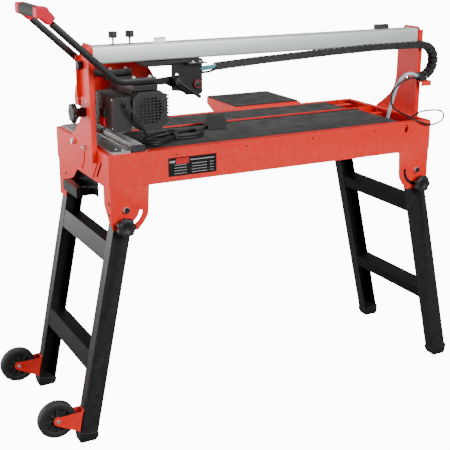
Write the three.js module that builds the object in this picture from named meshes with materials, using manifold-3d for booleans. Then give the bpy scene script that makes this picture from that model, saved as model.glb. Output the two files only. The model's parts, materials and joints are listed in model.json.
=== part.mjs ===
// Bridge tile cutter on a folding stand, in millimetres, +Z up.
// X runs along the tray, Y runs from the user's side to the back.
// Pieces are drawn from the tray's front left lower corner, and the whole group
// is then moved so that the origin is under the middle of the machine, on the floor.
import * as THREE from 'three';
import { mergeVertices } from 'three/addons/utils/BufferGeometryUtils.js';
import Module from 'manifold-3d';

const wasm = await Module();
wasm.setup();

// ---- driving dimensions ----
const LENGTH = 1214;        // tray length
const DEPTH = 500;          // tray depth
const HEIGHT = 105;         // tray height
const SHEET = 3;            // sheet steel thickness
const FLOOR = -832;         // floor level below the tray's underside
const GAP = 0.3;            // clearance between touching pieces
const TABLE_TOP = 103.3;    // top of the cutting tables
const SLOT_FRONT = 270;     // blade slot, front rail
const SLOT_BACK = 326;      // blade slot, back rail
const TILT_Y = 300;         // tilt axis and blade plane
const TILT_Z = 92;
const TOWER_FRONT = 92;
const TOWER_BACK = 212;
const TOWER_TOP = 422;
const BEAM_FRONT = 100;
const BEAM_BACK = 163;
const BEAM_LOW = 363;
const BEAM_TOP = 415;
const MOTOR_X = 146;        // motor shaft
const MOTOR_Z = 227;
const BLADE_RADIUS = 127;
const PLUNGE_X = 341;       // pivot of the cutting head
const PLUNGE_Z = 284;
const LEG_PIVOT_X = 52;     // fold pivot, from each end of the tray
const LEG_PIVOT_Z = -70;
const LEG_WIDTH = 58;
const LEG_DEPTH = 45;
const LEG_REACH = 774;      // pivot to sole, along the leg
const LEFT_SPLAY = 11.5;    // degrees outwards
const RIGHT_SPLAY = 13;
const BOLT_DROP = 50;       // fold pivot to clamp knob
const WHEEL_RADIUS = 62;
const WHEEL_X = -111;       // wheel centre from the fold pivot, in the upright frame
const WHEEL_Z = -701;
const CABLE_RADIUS = 3.8;   // mains lead
const HOSE_RADIUS = 6.5;
const PUMP_CABLE_RADIUS = 3;

const FINISH = {
  red: { color: 0xe63a2f, roughness: 0.42, metalness: 0 },
  black: { color: 0x1c1d1f, roughness: 0.6, metalness: 0 },
  rubber: { color: 0x33363a, roughness: 0.8, metalness: 0 },
  aluminium: { color: 0xc6cecc, roughness: 0.35, metalness: 1 },
  steel: { color: 0x9a9da0, roughness: 0.3, metalness: 1 },
  crimson: { color: 0xd4143a, roughness: 0.45, metalness: 0 },
  green: { color: 0x1e7a46, roughness: 0.5, metalness: 0 },
  clear: { color: 0xb9d6dc, roughness: 0.2, metalness: 0 },
};

// ---- solids ----
function solidOf(geometry) {
  const bare = new THREE.BufferGeometry();
  bare.setAttribute('position', geometry.getAttribute('position'));
  bare.setIndex(geometry.index);
  const merged = mergeVertices(bare, 1e-4);
  return new wasm.Manifold(new wasm.Mesh({
    numProp: 3,
    vertProperties: Float32Array.from(merged.getAttribute('position').array),
    triVerts: Uint32Array.from(merged.index.array),
  }));
}

function geometryOf(solid) {
  const mesh = solid.getMesh();
  const geometry = new THREE.BufferGeometry();
  geometry.setAttribute('position', new THREE.BufferAttribute(mesh.vertProperties, 3));
  geometry.setIndex(new THREE.BufferAttribute(mesh.triVerts, 1));
  return geometry;
}

function block(x0, x1, y0, y1, z0, z1) {
  const geometry = new THREE.BoxGeometry(x1 - x0, y1 - y0, z1 - z0);
  geometry.translate((x0 + x1) / 2, (y0 + y1) / 2, (z0 + z1) / 2);
  return solidOf(geometry);
}

// turns a shape drawn in two axes and thickened along the third into place
const TURNS = {
  x: new THREE.Matrix4().set(0, 0, 1, 0, 1, 0, 0, 0, 0, 1, 0, 0, 0, 0, 0, 1),
  y: new THREE.Matrix4().set(1, 0, 0, 0, 0, 0, -1, 0, 0, 1, 0, 0, 0, 0, 0, 1),
  z: new THREE.Matrix4(),
};

// outline points are (y, z) for axis x, (x, z) for axis y and (x, y) for axis z
function slab(axis, outline, from, to, curveSegments = 8) {
  const shape = outline instanceof THREE.Shape
    ? outline
    : new THREE.Shape(outline.map(([a, b]) => new THREE.Vector2(a, b)));
  const geometry = new THREE.ExtrudeGeometry(shape, { depth: to - from, bevelEnabled: false, curveSegments });
  geometry.applyMatrix4(TURNS[axis]);
  const start = axis === 'y' ? to : from;
  geometry.translate(axis === 'x' ? start : 0, axis === 'y' ? start : 0, axis === 'z' ? start : 0);
  return solidOf(geometry);
}

function rod(axis, a, b, radius, from, to, sides = 16) {
  const shape = new THREE.Shape();
  const points = [];
  for (let i = 0; i < sides; i += 1) {
    const angle = (2 * Math.PI * (i + 0.5)) / sides;
    points.push(new THREE.Vector2(a + radius * Math.cos(angle), b + radius * Math.sin(angle)));
  }
  shape.setFromPoints(points);
  return slab(axis, shape, from, to);
}

function rounded(a0, a1, b0, b1, radius) {
  const shape = new THREE.Shape();
  shape.moveTo(a0 + radius, b0);
  shape.lineTo(a1 - radius, b0);
  shape.absarc(a1 - radius, b0 + radius, radius, -Math.PI / 2, 0);
  shape.absarc(a1 - radius, b1 - radius, radius, 0, Math.PI / 2);
  shape.absarc(a0 + radius, b1 - radius, radius, Math.PI / 2, Math.PI);
  shape.absarc(a0 + radius, b0 + radius, radius, Math.PI, 1.5 * Math.PI);
  return shape;
}

// a slot that follows a circle round (a, b)
function arcSlot(a, b, radius, fromDegrees, toDegrees, width) {
  const start = THREE.MathUtils.degToRad(fromDegrees);
  const end = THREE.MathUtils.degToRad(toDegrees);
  const shape = new THREE.Shape();
  shape.absarc(a, b, radius + width / 2, start, end, false);
  shape.absarc(a, b, radius - width / 2, end, start, true);
  return shape;
}

function star(a, b, outer, inner, lobes) {
  const points = [];
  for (let i = 0; i < lobes * 4; i += 1) {
    const angle = (Math.PI * 2 * i) / (lobes * 4);
    const radius = i % 4 < 2 ? outer : inner;
    points.push([a + radius * Math.cos(angle), b + radius * Math.sin(angle)]);
  }
  return points;
}

function lathe(profile, sides = 24) {
  return new THREE.LatheGeometry(profile.map(([r, h]) => new THREE.Vector2(r, h)), sides);
}

function tube(points, radius, steps, sides = 8) {
  const curve = new THREE.CatmullRomCurve3(points.map(([x, y, z]) => new THREE.Vector3(x, y, z)), false, 'centripetal');
  const shape = new THREE.Shape();
  const section = [];
  for (let i = 0; i < sides; i += 1) {
    const angle = (2 * Math.PI * (i + 0.5)) / sides;
    section.push(new THREE.Vector2(radius * Math.cos(angle), radius * Math.sin(angle)));
  }
  shape.setFromPoints(section);
  return solidOf(new THREE.ExtrudeGeometry(shape, { steps, extrudePath: curve, bevelEnabled: false }));
}

// ---- the group ----
const machine = new THREE.Group();

function add(name, solid, finish, parent = machine) {
  const mesh = new THREE.Mesh(geometryOf(solid), new THREE.MeshStandardMaterial(FINISH[finish]));
  mesh.name = name;
  parent.add(mesh);
}

// ---- tray and tables ----
const FRONT_LIP = 30;
const BACK_LIP = 20;
const END_LIP = 22;

// welded stud and nut that clamp the bridge at its angle, in the tower's arc slot
function tiltStud(left) {
  const outer = left ? -12 : LENGTH + 12;
  const inner = left ? 1 : LENGTH - 1;
  const face = left ? -GAP - SHEET - GAP : LENGTH + GAP + SHEET + GAP;
  const body = rod('x', TILT_Y - 100, TILT_Z, 4, Math.min(outer, inner), Math.max(outer, inner), 12);
  return body.add(rod('x', TILT_Y - 100, TILT_Z, 9, Math.min(outer, face), Math.max(outer, face), 6));
}

function tray() {
  let body = block(0, LENGTH, 0, DEPTH, 0, HEIGHT);
  body = body.subtract(block(SHEET, LENGTH - SHEET, SHEET, DEPTH - SHEET, SHEET, HEIGHT - SHEET));
  body = body.subtract(block(END_LIP, LENGTH - END_LIP, FRONT_LIP, DEPTH - BACK_LIP, HEIGHT - 2 * SHEET, HEIGHT + 1));
  const railDepth = 32;
  for (const [y, ledge] of [[SLOT_FRONT, -1], [SLOT_BACK - 4, 1]]) {
    // the front table reaches over its rail, up to the blade
    body = body.add(block(SHEET - 1, LENGTH - SHEET + 1, y, y + 4, HEIGHT - railDepth, ledge < 0 ? 91 : HEIGHT));
    const edge = ledge < 0 ? [y - 16, y + 1] : [y + 3, y + 20];
    body = body.add(block(SHEET - 1, LENGTH - SHEET + 1, edge[0], edge[1], 88, 91));
  }
  for (const y of [SHEET - 1, DEPTH - SHEET - 44]) {
    body = body.add(block(SHEET - 1, LENGTH - SHEET + 1, y, y + 45, 88, 91));
  }
  // slanted adjusting slots in the end plates, and a slot in each end flange
  const slanted = [[56, 68], [64, 74], [108, 21], [100, 15]];
  for (const [x0, x1] of [[-1, 4], [LENGTH - 4, LENGTH + 1]]) {
    body = body.subtract(slab('x', slanted, x0, x1));
    body = body.subtract(rod('x', TILT_Y, TILT_Z, 6, x0, x1));
    body = body.add(tiltStud(x0 < 0));
  }
  body = body.subtract(slab('y', rounded(1102, 1114, 70, 96, 4), -1, 4));
  return body;
}

function table(x0, x1, y0, y1) {
  return slab('z', rounded(x0, x1, y0, y1, 4), 91 + GAP, TABLE_TOP, 3);
}

add('tray', tray(), 'red');
add('front_table', table(126, 1105, 33, TILT_Y - 6), 'rubber');
add('rear_table', table(126, 1085, SLOT_BACK + 2, DEPTH - BACK_LIP - 2), 'rubber');

const SIDE_TABLE = { x0: 705, x1: 980, y0: 514, y1: 762, top: 115 };

function sideTableBracket() {
  const { x0, x1, y1, top } = SIDE_TABLE;
  const under = top - 4 - GAP;
  let body = block(x0 - 2, x1 + 2, DEPTH + GAP, DEPTH + GAP + SHEET, 30, under);
  body = body.add(block(x0 - 2, x1 + 2, DEPTH + GAP, y1 - 6, under - SHEET, under));
  const gusset = new THREE.Shape();
  gusset.moveTo(DEPTH + GAP, 30);
  gusset.quadraticCurveTo(DEPTH + 170, 40, y1 - 6, under - 24);
  gusset.lineTo(y1 - 6, under);
  gusset.lineTo(DEPTH + GAP, under);
  for (const x of [x0 - 2, x1 + 2 - SHEET]) {
    body = body.add(slab('x', gusset, x, x + SHEET, 6));
  }
  return body;
}

add('side_table', slab('z', rounded(SIDE_TABLE.x0, SIDE_TABLE.x1, SIDE_TABLE.y0, SIDE_TABLE.y1, 5),
  SIDE_TABLE.top - 4, SIDE_TABLE.top, 3), 'rubber');
add('side_table_bracket', sideTableBracket(), 'red');

// ---- rip fence on the left end of the tray ----
add('fence_rail', block(16, 76, 8, 492, HEIGHT + GAP, HEIGHT + 6), 'aluminium');

function fenceBar() {
  let body = block(76 + GAP, 122, 14, 492, HEIGHT + GAP, HEIGHT + 8);
  body = body.add(block(92, 122, 14, 492, HEIGHT + 2, HEIGHT + 20));
  body = body.subtract(block(95, 119, 13, 493, HEIGHT + 10, HEIGHT + 17));
  // clearance for the blade, upright or tilted
  body = body.subtract(block(86, 123, 286, 344, HEIGHT, HEIGHT + 21));
  return body.subtract(block(76, 87, 286, 344, HEIGHT + 2, HEIGHT + 21));
}

add('fence_bar', fenceBar(), 'aluminium');
add('fence_end_cap', block(80, 124, 7, 14 - GAP, HEIGHT + GAP, HEIGHT + 21), 'black');

// ---- leg brackets ----
const mirrorX = (points) => points.map(([x, z]) => [LENGTH - x, z]);
const rad = THREE.MathUtils.degToRad;

function legBracket(left, front) {
  const outline = [[6, -GAP], [6, -130], [32, -136], [90, -138], [112, -114], [126, -90], [131, -GAP]];
  const y0 = front ? 0 : DEPTH - SHEET;
  let body = slab('y', left ? outline : mirrorX(outline), y0, y0 + SHEET);
  const cx = left ? LEG_PIVOT_X : LENGTH - LEG_PIVOT_X;
  // the clamp bolt travels in this slot as the leg folds inwards
  const slot = left
    ? arcSlot(cx, LEG_PIVOT_Z, BOLT_DROP, -110, -7, 11)
    : arcSlot(cx, LEG_PIVOT_Z, BOLT_DROP, -188, -69, 11);
  body = body.subtract(slab('y', slot, y0 - 1, y0 + SHEET + 1, 10));
  body = body.subtract(rod('y', cx, LEG_PIVOT_Z, 5.5, y0 - 1, y0 + SHEET + 1));
  // mounting flange under the tray, and the return flange at the tray's end
  const xa = left ? 6 : LENGTH - 131;
  const xb = left ? 131 : LENGTH - 6;
  const ya = front ? 0 : DEPTH - 60;
  body = body.add(block(xa, xb, ya, ya + 60, -GAP - SHEET, -GAP));
  const wing = front
    ? [[0, -GAP], [0, -112], [14, -118], [60, -60], [60, -GAP]]
    : [[DEPTH, -GAP], [DEPTH, -130], [DEPTH - 62, -130], [DEPTH - 90, -62], [DEPTH - 152, -40], [DEPTH - 200, -GAP]];
  const wx = left ? 3 : LENGTH - 6;
  body = body.add(slab('x', wing, wx, wx + SHEET));
  return body;
}

for (const left of [true, false]) {
  for (const front of [true, false]) {
    add(`${front ? 'front' : 'rear'}_${left ? 'left' : 'right'}_bracket`, legBracket(left, front), 'red');
  }
}

// ---- lifting handle under the left end ----
function liftHandle() {
  const z = -58;
  let body = block(-34, -12, 210, 345, z - 17, z + 17);
  for (const y of [210, 323]) {
    body = body.add(block(-34, 34, y, y + 22, z - 11, z + 11));
  }
  body = body.add(block(28, 34, 190, 365, z - 14, -SHEET));
  return body.add(block(10, 34, 190, 365, -SHEET - GAP, -GAP));
}
add('lift_handle', liftHandle(), 'black');

// ---- pump in the tray ----
function pump() {
  let body = slab('z', rounded(1112, 1168, 112, 172, 8), SHEET + GAP, 50, 4);
  body = body.add(rod('z', 1124, 134, 9, 49, 62, 12));
  return body;
}
add('water_pump', pump(), 'black');

// ---- tilting bridge ----
function tower(left) {
  const outline = new THREE.Shape();
  outline.moveTo(TOWER_FRONT, 62);
  outline.lineTo(142, 3);
  outline.lineTo(228, 3);
  outline.lineTo(292, 62);
  outline.absarc(TILT_Y, TILT_Z, 28, -1.2, 1.3, false);
  outline.lineTo(252, 158);
  outline.quadraticCurveTo(TOWER_BACK, 190, TOWER_BACK, 250);
  outline.lineTo(TOWER_BACK, TOWER_TOP - 40);
  outline.lineTo(TOWER_BACK - 36, TOWER_TOP);
  outline.lineTo(TOWER_FRONT + 10, TOWER_TOP);
  outline.lineTo(TOWER_FRONT, TOWER_TOP - 10);
  const x0 = left ? -GAP - SHEET : LENGTH + GAP;
  const flange = 14;
  const fx = left ? [x0 - flange, x0 + 1] : [x0 + SHEET - 1, x0 + SHEET + flange];
  let body = slab('x', outline, x0, x0 + SHEET, 6);
  body = body.add(block(fx[0], fx[1], TOWER_FRONT, TOWER_FRONT + SHEET, 64, TOWER_TOP - 11));
  body = body.add(block(fx[0], fx[1], TOWER_BACK - SHEET, TOWER_BACK, 250, TOWER_TOP - 42));
  body = body.subtract(slab('x', arcSlot(TILT_Y, TILT_Z, 100, 175, 230, 9), x0 - 1, x0 + SHEET + 1, 10));
  body = body.subtract(rod('x', TILT_Y, TILT_Z, 6, x0 - 1, x0 + SHEET + 1));
  if (!left) {
    // tab that carries the end of the chain
    body = body.add(block(x0 + SHEET - 1, x0 + 46, TOWER_FRONT - 26, TOWER_FRONT + SHEET, 228, 232));
    body = body.add(block(x0 + SHEET - 1, x0 + 46, TOWER_FRONT - 26, TOWER_FRONT - 23, 214, 229));
    body = body.subtract(rod('x', 150, 240, 11, x0 - 1, x0 + SHEET + 1));
  }
  return body;
}

function tiltPin(left) {
  const outer = left ? -14 : LENGTH + 14;
  const inner = left ? 14 : LENGTH - 14;
  const face = left ? -GAP - SHEET - GAP : LENGTH + GAP + SHEET + GAP;
  let body = rod('x', TILT_Y, TILT_Z, 5, Math.min(outer, inner), Math.max(outer, inner), 12);
  body = body.add(rod('x', TILT_Y, TILT_Z, 10, Math.min(outer, face), Math.max(outer, face), 6));
  return body;
}

function beam() {
  const outline = rounded(BEAM_FRONT, BEAM_BACK, BEAM_LOW, BEAM_TOP, 6);
  let body = slab('x', outline, 0, LENGTH, 3);
  body = body.subtract(block(-1, LENGTH + 1, BEAM_FRONT + 4, BEAM_BACK - 4, BEAM_LOW + 4, BEAM_TOP - 4));
  return body.subtract(block(-1, LENGTH + 1, BEAM_FRONT + 18, BEAM_BACK - 18, BEAM_LOW - 1, BEAM_LOW + 5));
}

add('left_tower', tower(true), 'red');
add('right_tower', tower(false), 'red');
add('left_tilt_pin', tiltPin(true), 'steel');
add('right_tilt_pin', tiltPin(false), 'steel');
add('beam', beam(), 'aluminium');

function sideKnob(y, z, discRadius, stemRadius, reach, thick) {
  const face = -GAP - SHEET - GAP;
  let body = rod('x', y, z, stemRadius, face - reach, face, 16);
  return body.add(slab('x', star(y, z, discRadius, discRadius * 0.9, 6), face - reach - thick, face - reach + 1));
}
add('bridge_knob', sideKnob(190, 206, 31, 15, 26, 18), 'black');
add('stop_knob', sideKnob(188, 352, 14, 7, 1, 16), 'black');

function topKnob(x) {
  let body = rod('z', x, 152, 3, BEAM_TOP + GAP, BEAM_TOP + 20, 10);
  return body.add(slab('z', star(x, 152, 14, 12, 6), BEAM_TOP + 18, BEAM_TOP + 38));
}
add('left_beam_knob', topKnob(86), 'black');
add('right_beam_knob', topKnob(141), 'black');
add('cable_clip', block(1062, 1116, 140, 158, BEAM_TOP + GAP, BEAM_TOP + 16), 'black');

// ---- energy chain under the beam ----
const CHAIN_Y0 = 66;
const CHAIN_Y1 = 89;
const CHAIN_X0 = 398;
const BEND_X = 1213;
const BEND_Z = 303.5;
const BEND_RADIUS = 69.5;

function chainBend() {
  const shape = new THREE.Shape();
  shape.absarc(BEND_X, BEND_Z, BEND_RADIUS, -Math.PI / 2, Math.PI / 2, false);
  shape.absarc(BEND_X, BEND_Z, BEND_RADIUS - 26, Math.PI / 2, -Math.PI / 2, true);
  let body = slab('y', shape, CHAIN_Y0, CHAIN_Y1, 12);
  return body.add(block(BEND_X - 1, BEND_X + 1, CHAIN_Y0, CHAIN_Y1, BEND_Z - BEND_RADIUS, BEND_Z - BEND_RADIUS + 26));
}
add('chain_bend', chainBend(), 'black');

function chainRun() {
  const right = BEND_X - GAP;
  const points = [[CHAIN_X0, 325], [558, 334], [822, 345], [1000, 350], [right, 350], [right, 373],
    [1000, 373], [822, 368], [558, 357], [CHAIN_X0, 348]];
  return slab('y', points, CHAIN_Y0, CHAIN_Y1);
}
add('chain_run', chainRun(), 'black');

// ---- carriage ----
function carriage() {
  let body = block(168, 362, 92, 175, 346, BEAM_LOW - 2);
  body = body.add(block(300, 362, 60, 93, 350, 354));
  const plate = new THREE.Shape();
  plate.moveTo(254, 350);
  plate.lineTo(254, 268);
  plate.lineTo(290, 262);
  plate.lineTo(303, 250);
  plate.lineTo(350, 250);
  plate.absarc(350, 260, 10, -Math.PI / 2, 0, false);
  plate.lineTo(360, 350);
  body = body.add(slab('y', plate, 92, 96, 4));
  // depth slot round the plunge pivot, and the pivot's hole
  body = body.subtract(slab('y', arcSlot(PLUNGE_X, PLUNGE_Z, 76, 153, 176, 10), 91, 97, 8));
  body = body.subtract(rod('y', PLUNGE_X, PLUNGE_Z, 9, 91, 97, 12));
  for (const x of [188, 330]) {
    body = body.add(block(x, x + 26, 122, 141, BEAM_LOW - 3, BEAM_TOP - 12));
  }
  return body;
}
add('carriage', carriage(), 'black');

function plungePin() {
  let body = rod('y', PLUNGE_X, PLUNGE_Z, 8, 84, 126, 12);
  return body.add(rod('y', PLUNGE_X, PLUNGE_Z, 14, 84, 92 - GAP, 16));
}
add('plunge_pin', plungePin(), 'steel');

function clampLever() {
  const hub = [PLUNGE_X - 76 * Math.cos(rad(10)), PLUNGE_Z + 76 * Math.sin(rad(10))];
  let body = rod('y', hub[0], hub[1], 13, 66, 92 - GAP, 12);
  const arm = [[hub[0] - 3, hub[1] - 7], [hub[0] + 70, hub[1] - 50], [hub[0] + 75, hub[1] - 42], [hub[0] + 5, hub[1] + 5]];
  body = body.add(slab('y', arm, 60, 69));
  return body.add(rod('y', hub[0], hub[1], 4, 91, 104 - GAP, 12));
}
add('clamp_lever', clampLever(), 'black');

// ---- cutting head ----
function headArm() {
  let body = block(100, 178, 26, 292, MOTOR_Z + 60, 303);
  const arm = new THREE.Shape();
  arm.moveTo(160, 303);
  arm.lineTo(160, MOTOR_Z + 60);
  arm.lineTo(238, MOTOR_Z + 60);
  arm.lineTo(300, 256);
  arm.lineTo(PLUNGE_X, PLUNGE_Z - 22);
  arm.absarc(PLUNGE_X, PLUNGE_Z, 22, -Math.PI / 2, Math.PI / 2, false);
  arm.lineTo(300, 314);
  body = body.add(slab('y', arm, 104, 110, 6));
  return body.subtract(rod('y', PLUNGE_X, PLUNGE_Z, 8 + GAP, 103, 111, 12));
}
add('head_arm', headArm(), 'black');

function motorBody() {
  let body = rod('y', MOTOR_X, MOTOR_Z, 54, 44 + GAP, 270, 20);
  const ribs = 8;
  for (let i = 0; i < ribs; i += 1) {
    const z = MOTOR_Z - 44 + i * 11;
    body = body.add(block(MOTOR_X - 20, MOTOR_X + 84, 60, 216, z - 2, z + 2));
  }
  body = body.add(block(MOTOR_X + 10, MOTOR_X + 76, 60, 216, MOTOR_Z - 44, MOTOR_Z + 33));
  body = body.add(block(MOTOR_X - 38, MOTOR_X + 20, 60, 250, MOTOR_Z + 30, MOTOR_Z + 60 - GAP));
  return body.subtract(rod('y', MOTOR_X, MOTOR_Z, 9, 200, 271, 12));
}
add('motor_body', motorBody(), 'black');

function fanCover() {
  const r = 57;
  const c = 20;
  const octagon = [[-r, -r + c], [-r + c, -r], [r - c, -r], [r, -r + c], [r, r - c], [r - c, r], [-r + c, r], [-r, r - c]];
  const at = (scale) => octagon.map(([x, z]) => [MOTOR_X + x * scale, MOTOR_Z + z * scale]);
  let body = slab('y', at(1), 12, 44);
  body = body.subtract(slab('y', at(0.92), 16, 45));
  const slats = 9;
  for (let i = 0; i < slats; i += 1) {
    const dz = -36 + i * 9;
    const half = Math.sqrt(42 * 42 - dz * dz);
    body = body.subtract(block(MOTOR_X - half, MOTOR_X + half, 11, 17, MOTOR_Z + dz - 2.4, MOTOR_Z + dz + 2.4));
  }
  return body;
}
add('fan_cover', fanCover(), 'black');

function switchBox() {
  let body = slab('y', rounded(32, 88, 168, 273, 6), 22, 178, 3);
  body = body.add(block(87, MOTOR_X - 57 - GAP, 60, 120, 196, 240));
  body = body.subtract(block(31, 41, 80, 134, 173, 232));
  // cord gland
  body = body.add(rod('y', 66, 254, 9, 14, 23, 12));
  return body;
}
add('switch_box', switchBox(), 'black');
add('start_button', block(27, 36 - GAP, 84, 130, 204, 229), 'green');
add('stop_button', block(25, 36 - GAP, 84, 130, 176, 202), 'crimson');

// ---- operating handle ----
const GRIP_X = -166;
const GRIP_Z = 526;
const NEAR_Y = 44;
const FAR_Y = 244;

function handleTube(y) {
  const flat = 303 + GAP;
  const half = 10;
  const path = [[178, flat], [64, flat], [40, flat + 10], [GRIP_X + 22, GRIP_Z - 42],
    [GRIP_X + 38, GRIP_Z - 24], [58, flat + 24], [74, flat + 20], [178, flat + 20]];
  return slab('y', path, y - half, y + half);
}
add('near_handle_bar', handleTube(NEAR_Y), 'black');
add('far_handle_bar', handleTube(FAR_Y), 'black');

function gripEnd(y, toward) {
  const body = block(-14, 14, -14, 14, -14, 32).rotate([0, 130, 0]).translate([GRIP_X, 0, GRIP_Z]);
  const boss = toward > 0 ? [y - 14, y + 26] : [y - 26, y + 14];
  let end = body.add(block(-14, 14, -14, 14, -14, 14).translate([GRIP_X, 0, GRIP_Z])).translate([0, y, 0]);
  end = end.add(rod('y', GRIP_X, GRIP_Z, 15, boss[0], boss[1], 12));
  // socket that the bar ends in
  const bar = [[178, 303], [64, 303], [40, 313], [GRIP_X + 21, GRIP_Z - 43], [GRIP_X + 37.6, GRIP_Z - 23.4],
    [58, 328], [178, 328]];
  return end.subtract(slab('y', bar, y - 10.4, y + 10.4));
}
add('near_grip_end', gripEnd(NEAR_Y, 1), 'crimson');
add('far_grip_end', gripEnd(FAR_Y, -1), 'crimson');
add('grip', rod('y', GRIP_X, GRIP_Z, 17, NEAR_Y + 26 + GAP, FAR_Y - 26 - GAP, 16), 'rubber');

// ---- blade, flanges and guard ----
function blade() {
  const disc = rod('y', MOTOR_X, MOTOR_Z, BLADE_RADIUS, TILT_Y - 1.2, TILT_Y + 1.2, 48);
  return disc.subtract(rod('y', MOTOR_X, MOTOR_Z, 12.7, TILT_Y - 2, TILT_Y + 2, 16));
}
add('blade', blade(), 'steel');

function spindle() {
  let body = rod('y', MOTOR_X, MOTOR_Z, 8, 202, 316, 12);
  body = body.add(rod('y', MOTOR_X, MOTOR_Z, 12.4, TILT_Y - 4, TILT_Y + 4, 16));
  body = body.add(rod('y', MOTOR_X, MOTOR_Z, 30, TILT_Y - 6, TILT_Y - 1.5, 20));
  body = body.add(rod('y', MOTOR_X, MOTOR_Z, 30, TILT_Y + 1.5, TILT_Y + 6, 20));
  return body.add(rod('y', MOTOR_X, MOTOR_Z, 14, TILT_Y + 6, TILT_Y + 14, 6));
}
add('spindle', spindle(), 'steel');

function bladeGuard() {
  const outer = new THREE.Shape();
  outer.absarc(MOTOR_X, MOTOR_Z + 4, 138, rad(-8), rad(188), false);
  const inner = new THREE.Shape();
  inner.absarc(MOTOR_X, MOTOR_Z + 4, 134, rad(-12), rad(192), false);
  let body = slab('y', outer, 276, 312, 24);
  body = body.subtract(slab('y', inner, 279, 309, 24));
  body = body.subtract(rod('y', MOTOR_X, MOTOR_Z, 34, 275, 280, 16));
  body = body.subtract(rod('y', MOTOR_X, MOTOR_Z, 17 + 16, 308, 313, 16));
  body = body.subtract(block(0, 300, 275, 313, 150, 208));
  body = body.subtract(block(98, 180, 275, 293 - GAP, 286, 304));
  return body;
}
add('blade_guard', bladeGuard(), 'red');

// ---- folding leg frames ----
// each frame is drawn upright with its fold pivot at the group's origin, then splayed
// pivot pin that the frame turns on, riveted into the leg
function legPin(front) {
  const body = rod('y', 0, 0, 5, front ? -1 : DEPTH - 8, front ? 8 : DEPTH + 1, 12);
  return body.add(rod('y', 0, 0, 10, front ? -9 : DEPTH + GAP, front ? -GAP : DEPTH + 9, 6));
}

function legFrame(left) {
  const w = LEG_WIDTH / 2;
  const top = 32;
  const foot = -LEG_REACH + 20;
  let body = null;
  for (const front of [true, false]) {
    const y0 = front ? SHEET + 1 : DEPTH - SHEET - 1 - LEG_DEPTH;
    let leg = block(-w, w, y0, y0 + LEG_DEPTH, foot, top);
    const inner = front ? [y0 + 2.5, y0 + LEG_DEPTH + 1] : [y0 - 1, y0 + LEG_DEPTH - 2.5];
    leg = leg.subtract(block(-w + 2.5, w - 2.5, inner[0], inner[1], foot - 1, top + 1));
    leg = leg.add(legPin(front));
    const web = front ? y0 - 1 : y0 + LEG_DEPTH - 4;
    leg = leg.subtract(rod('y', 0, -BOLT_DROP, 5.5, web, web + 5, 12));
    body = body ? body.add(leg) : leg;
  }
  const inside = [SHEET + 1 + 2, DEPTH - SHEET - 1 - 2];
  for (const z of [-147, -510]) {
    const half = left ? 31 : 21;
    let brace = block(-w + 1, w - 1, inside[0], inside[1], z - half, z + half);
    brace = brace.subtract(block(-w + 4, w, inside[0] - 1, inside[1] + 1, z - half + 3, z + half - 3));
    body = body.add(brace);
  }
  if (left) {
    // wheel forks, welded to the outer side of each leg
    for (const front of [true, false]) {
      const y = front ? 26 : DEPTH - 26;
      for (const side of [-1, 1]) {
        const yf = y + side * 19 - 1.5;
        const cheek = [[-w + 1, 34], [-w + 1, -40], [WHEEL_X - 4, -14], [WHEEL_X - 14, 0],
          [WHEEL_X - 8, 12], [WHEEL_X + 8, 18]].map(([x, z]) => [x, WHEEL_Z + z]);
        body = body.add(slab('y', cheek, yf, yf + 3));
      }
      body = body.add(block(-w - 4, -w + 1, y - 20.5, y + 20.5, WHEEL_Z - 40, WHEEL_Z + 34));
      body = body.add(rod('y', WHEEL_X, WHEEL_Z, 5, y - 25, y + 25, 12));
    }
  }
  return body;
}

function foot(front) {
  const y0 = front ? 2 : DEPTH - 2 - LEG_DEPTH - 4;
  const bottom = -LEG_REACH;
  const w = LEG_WIDTH / 2 + 3;
  let body = block(-w, w, y0, y0 + LEG_DEPTH + 4, bottom + 8, bottom + 30);
  const yl = front ? SHEET + 1 : DEPTH - SHEET - 1 - LEG_DEPTH;
  body = body.subtract(block(-w + 3 - GAP, w - 3 + GAP, yl - GAP, yl + LEG_DEPTH + GAP, bottom + 20 - GAP, bottom + 43));
  return body;
}

function sole(front, splay) {
  // level pad that the cap stands on
  const y0 = front ? 2 : DEPTH - 2 - LEG_DEPTH - 4;
  const dx = LEG_REACH * Math.sin(rad(splay));
  return block(-dx - 34, -dx + 34, y0, y0 + LEG_DEPTH + 4, FLOOR - LEG_PIVOT_Z, FLOOR - LEG_PIVOT_Z + 18);
}

function footSolid(front, left) {
  const splay = left ? LEFT_SPLAY : RIGHT_SPLAY;
  const sign = left ? 1 : -1;
  let body = foot(front).rotate([0, sign * splay, 0]);
  const y0 = front ? 2 : DEPTH - 2 - LEG_DEPTH - 4;
  const pad = left ? sole(front, splay) : sole(front, splay).mirror([1, 0, 0]);
  body = body.add(pad);
  const yl = front ? SHEET + 1 : DEPTH - SHEET - 1 - LEG_DEPTH;
  const w = LEG_WIDTH / 2 + GAP;
  const socket = block(-w, w, yl - GAP, yl + LEG_DEPTH + GAP, -LEG_REACH + 20 - GAP, -LEG_REACH + 120)
    .rotate([0, sign * splay, 0]);
  body = body.subtract(socket);
  return body.intersect(block(-1000, 1000, y0 - 1, y0 + LEG_DEPTH + 5, FLOOR - LEG_PIVOT_Z, 0));
}

function wheel(y) {
  const tyre = lathe([[0, -14], [44, -14], [56, -15], [WHEEL_RADIUS, -11], [WHEEL_RADIUS, 11], [56, 15], [44, 14], [0, 14]], 32);
  let body = solidOf(tyre);
  const bore = solidOf(lathe([[0, -20], [5.4, -20], [5.4, 20], [0, 20]], 12));
  body = body.subtract(bore);
  return body.translate([WHEEL_X, y, WHEEL_Z]);
}

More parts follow.
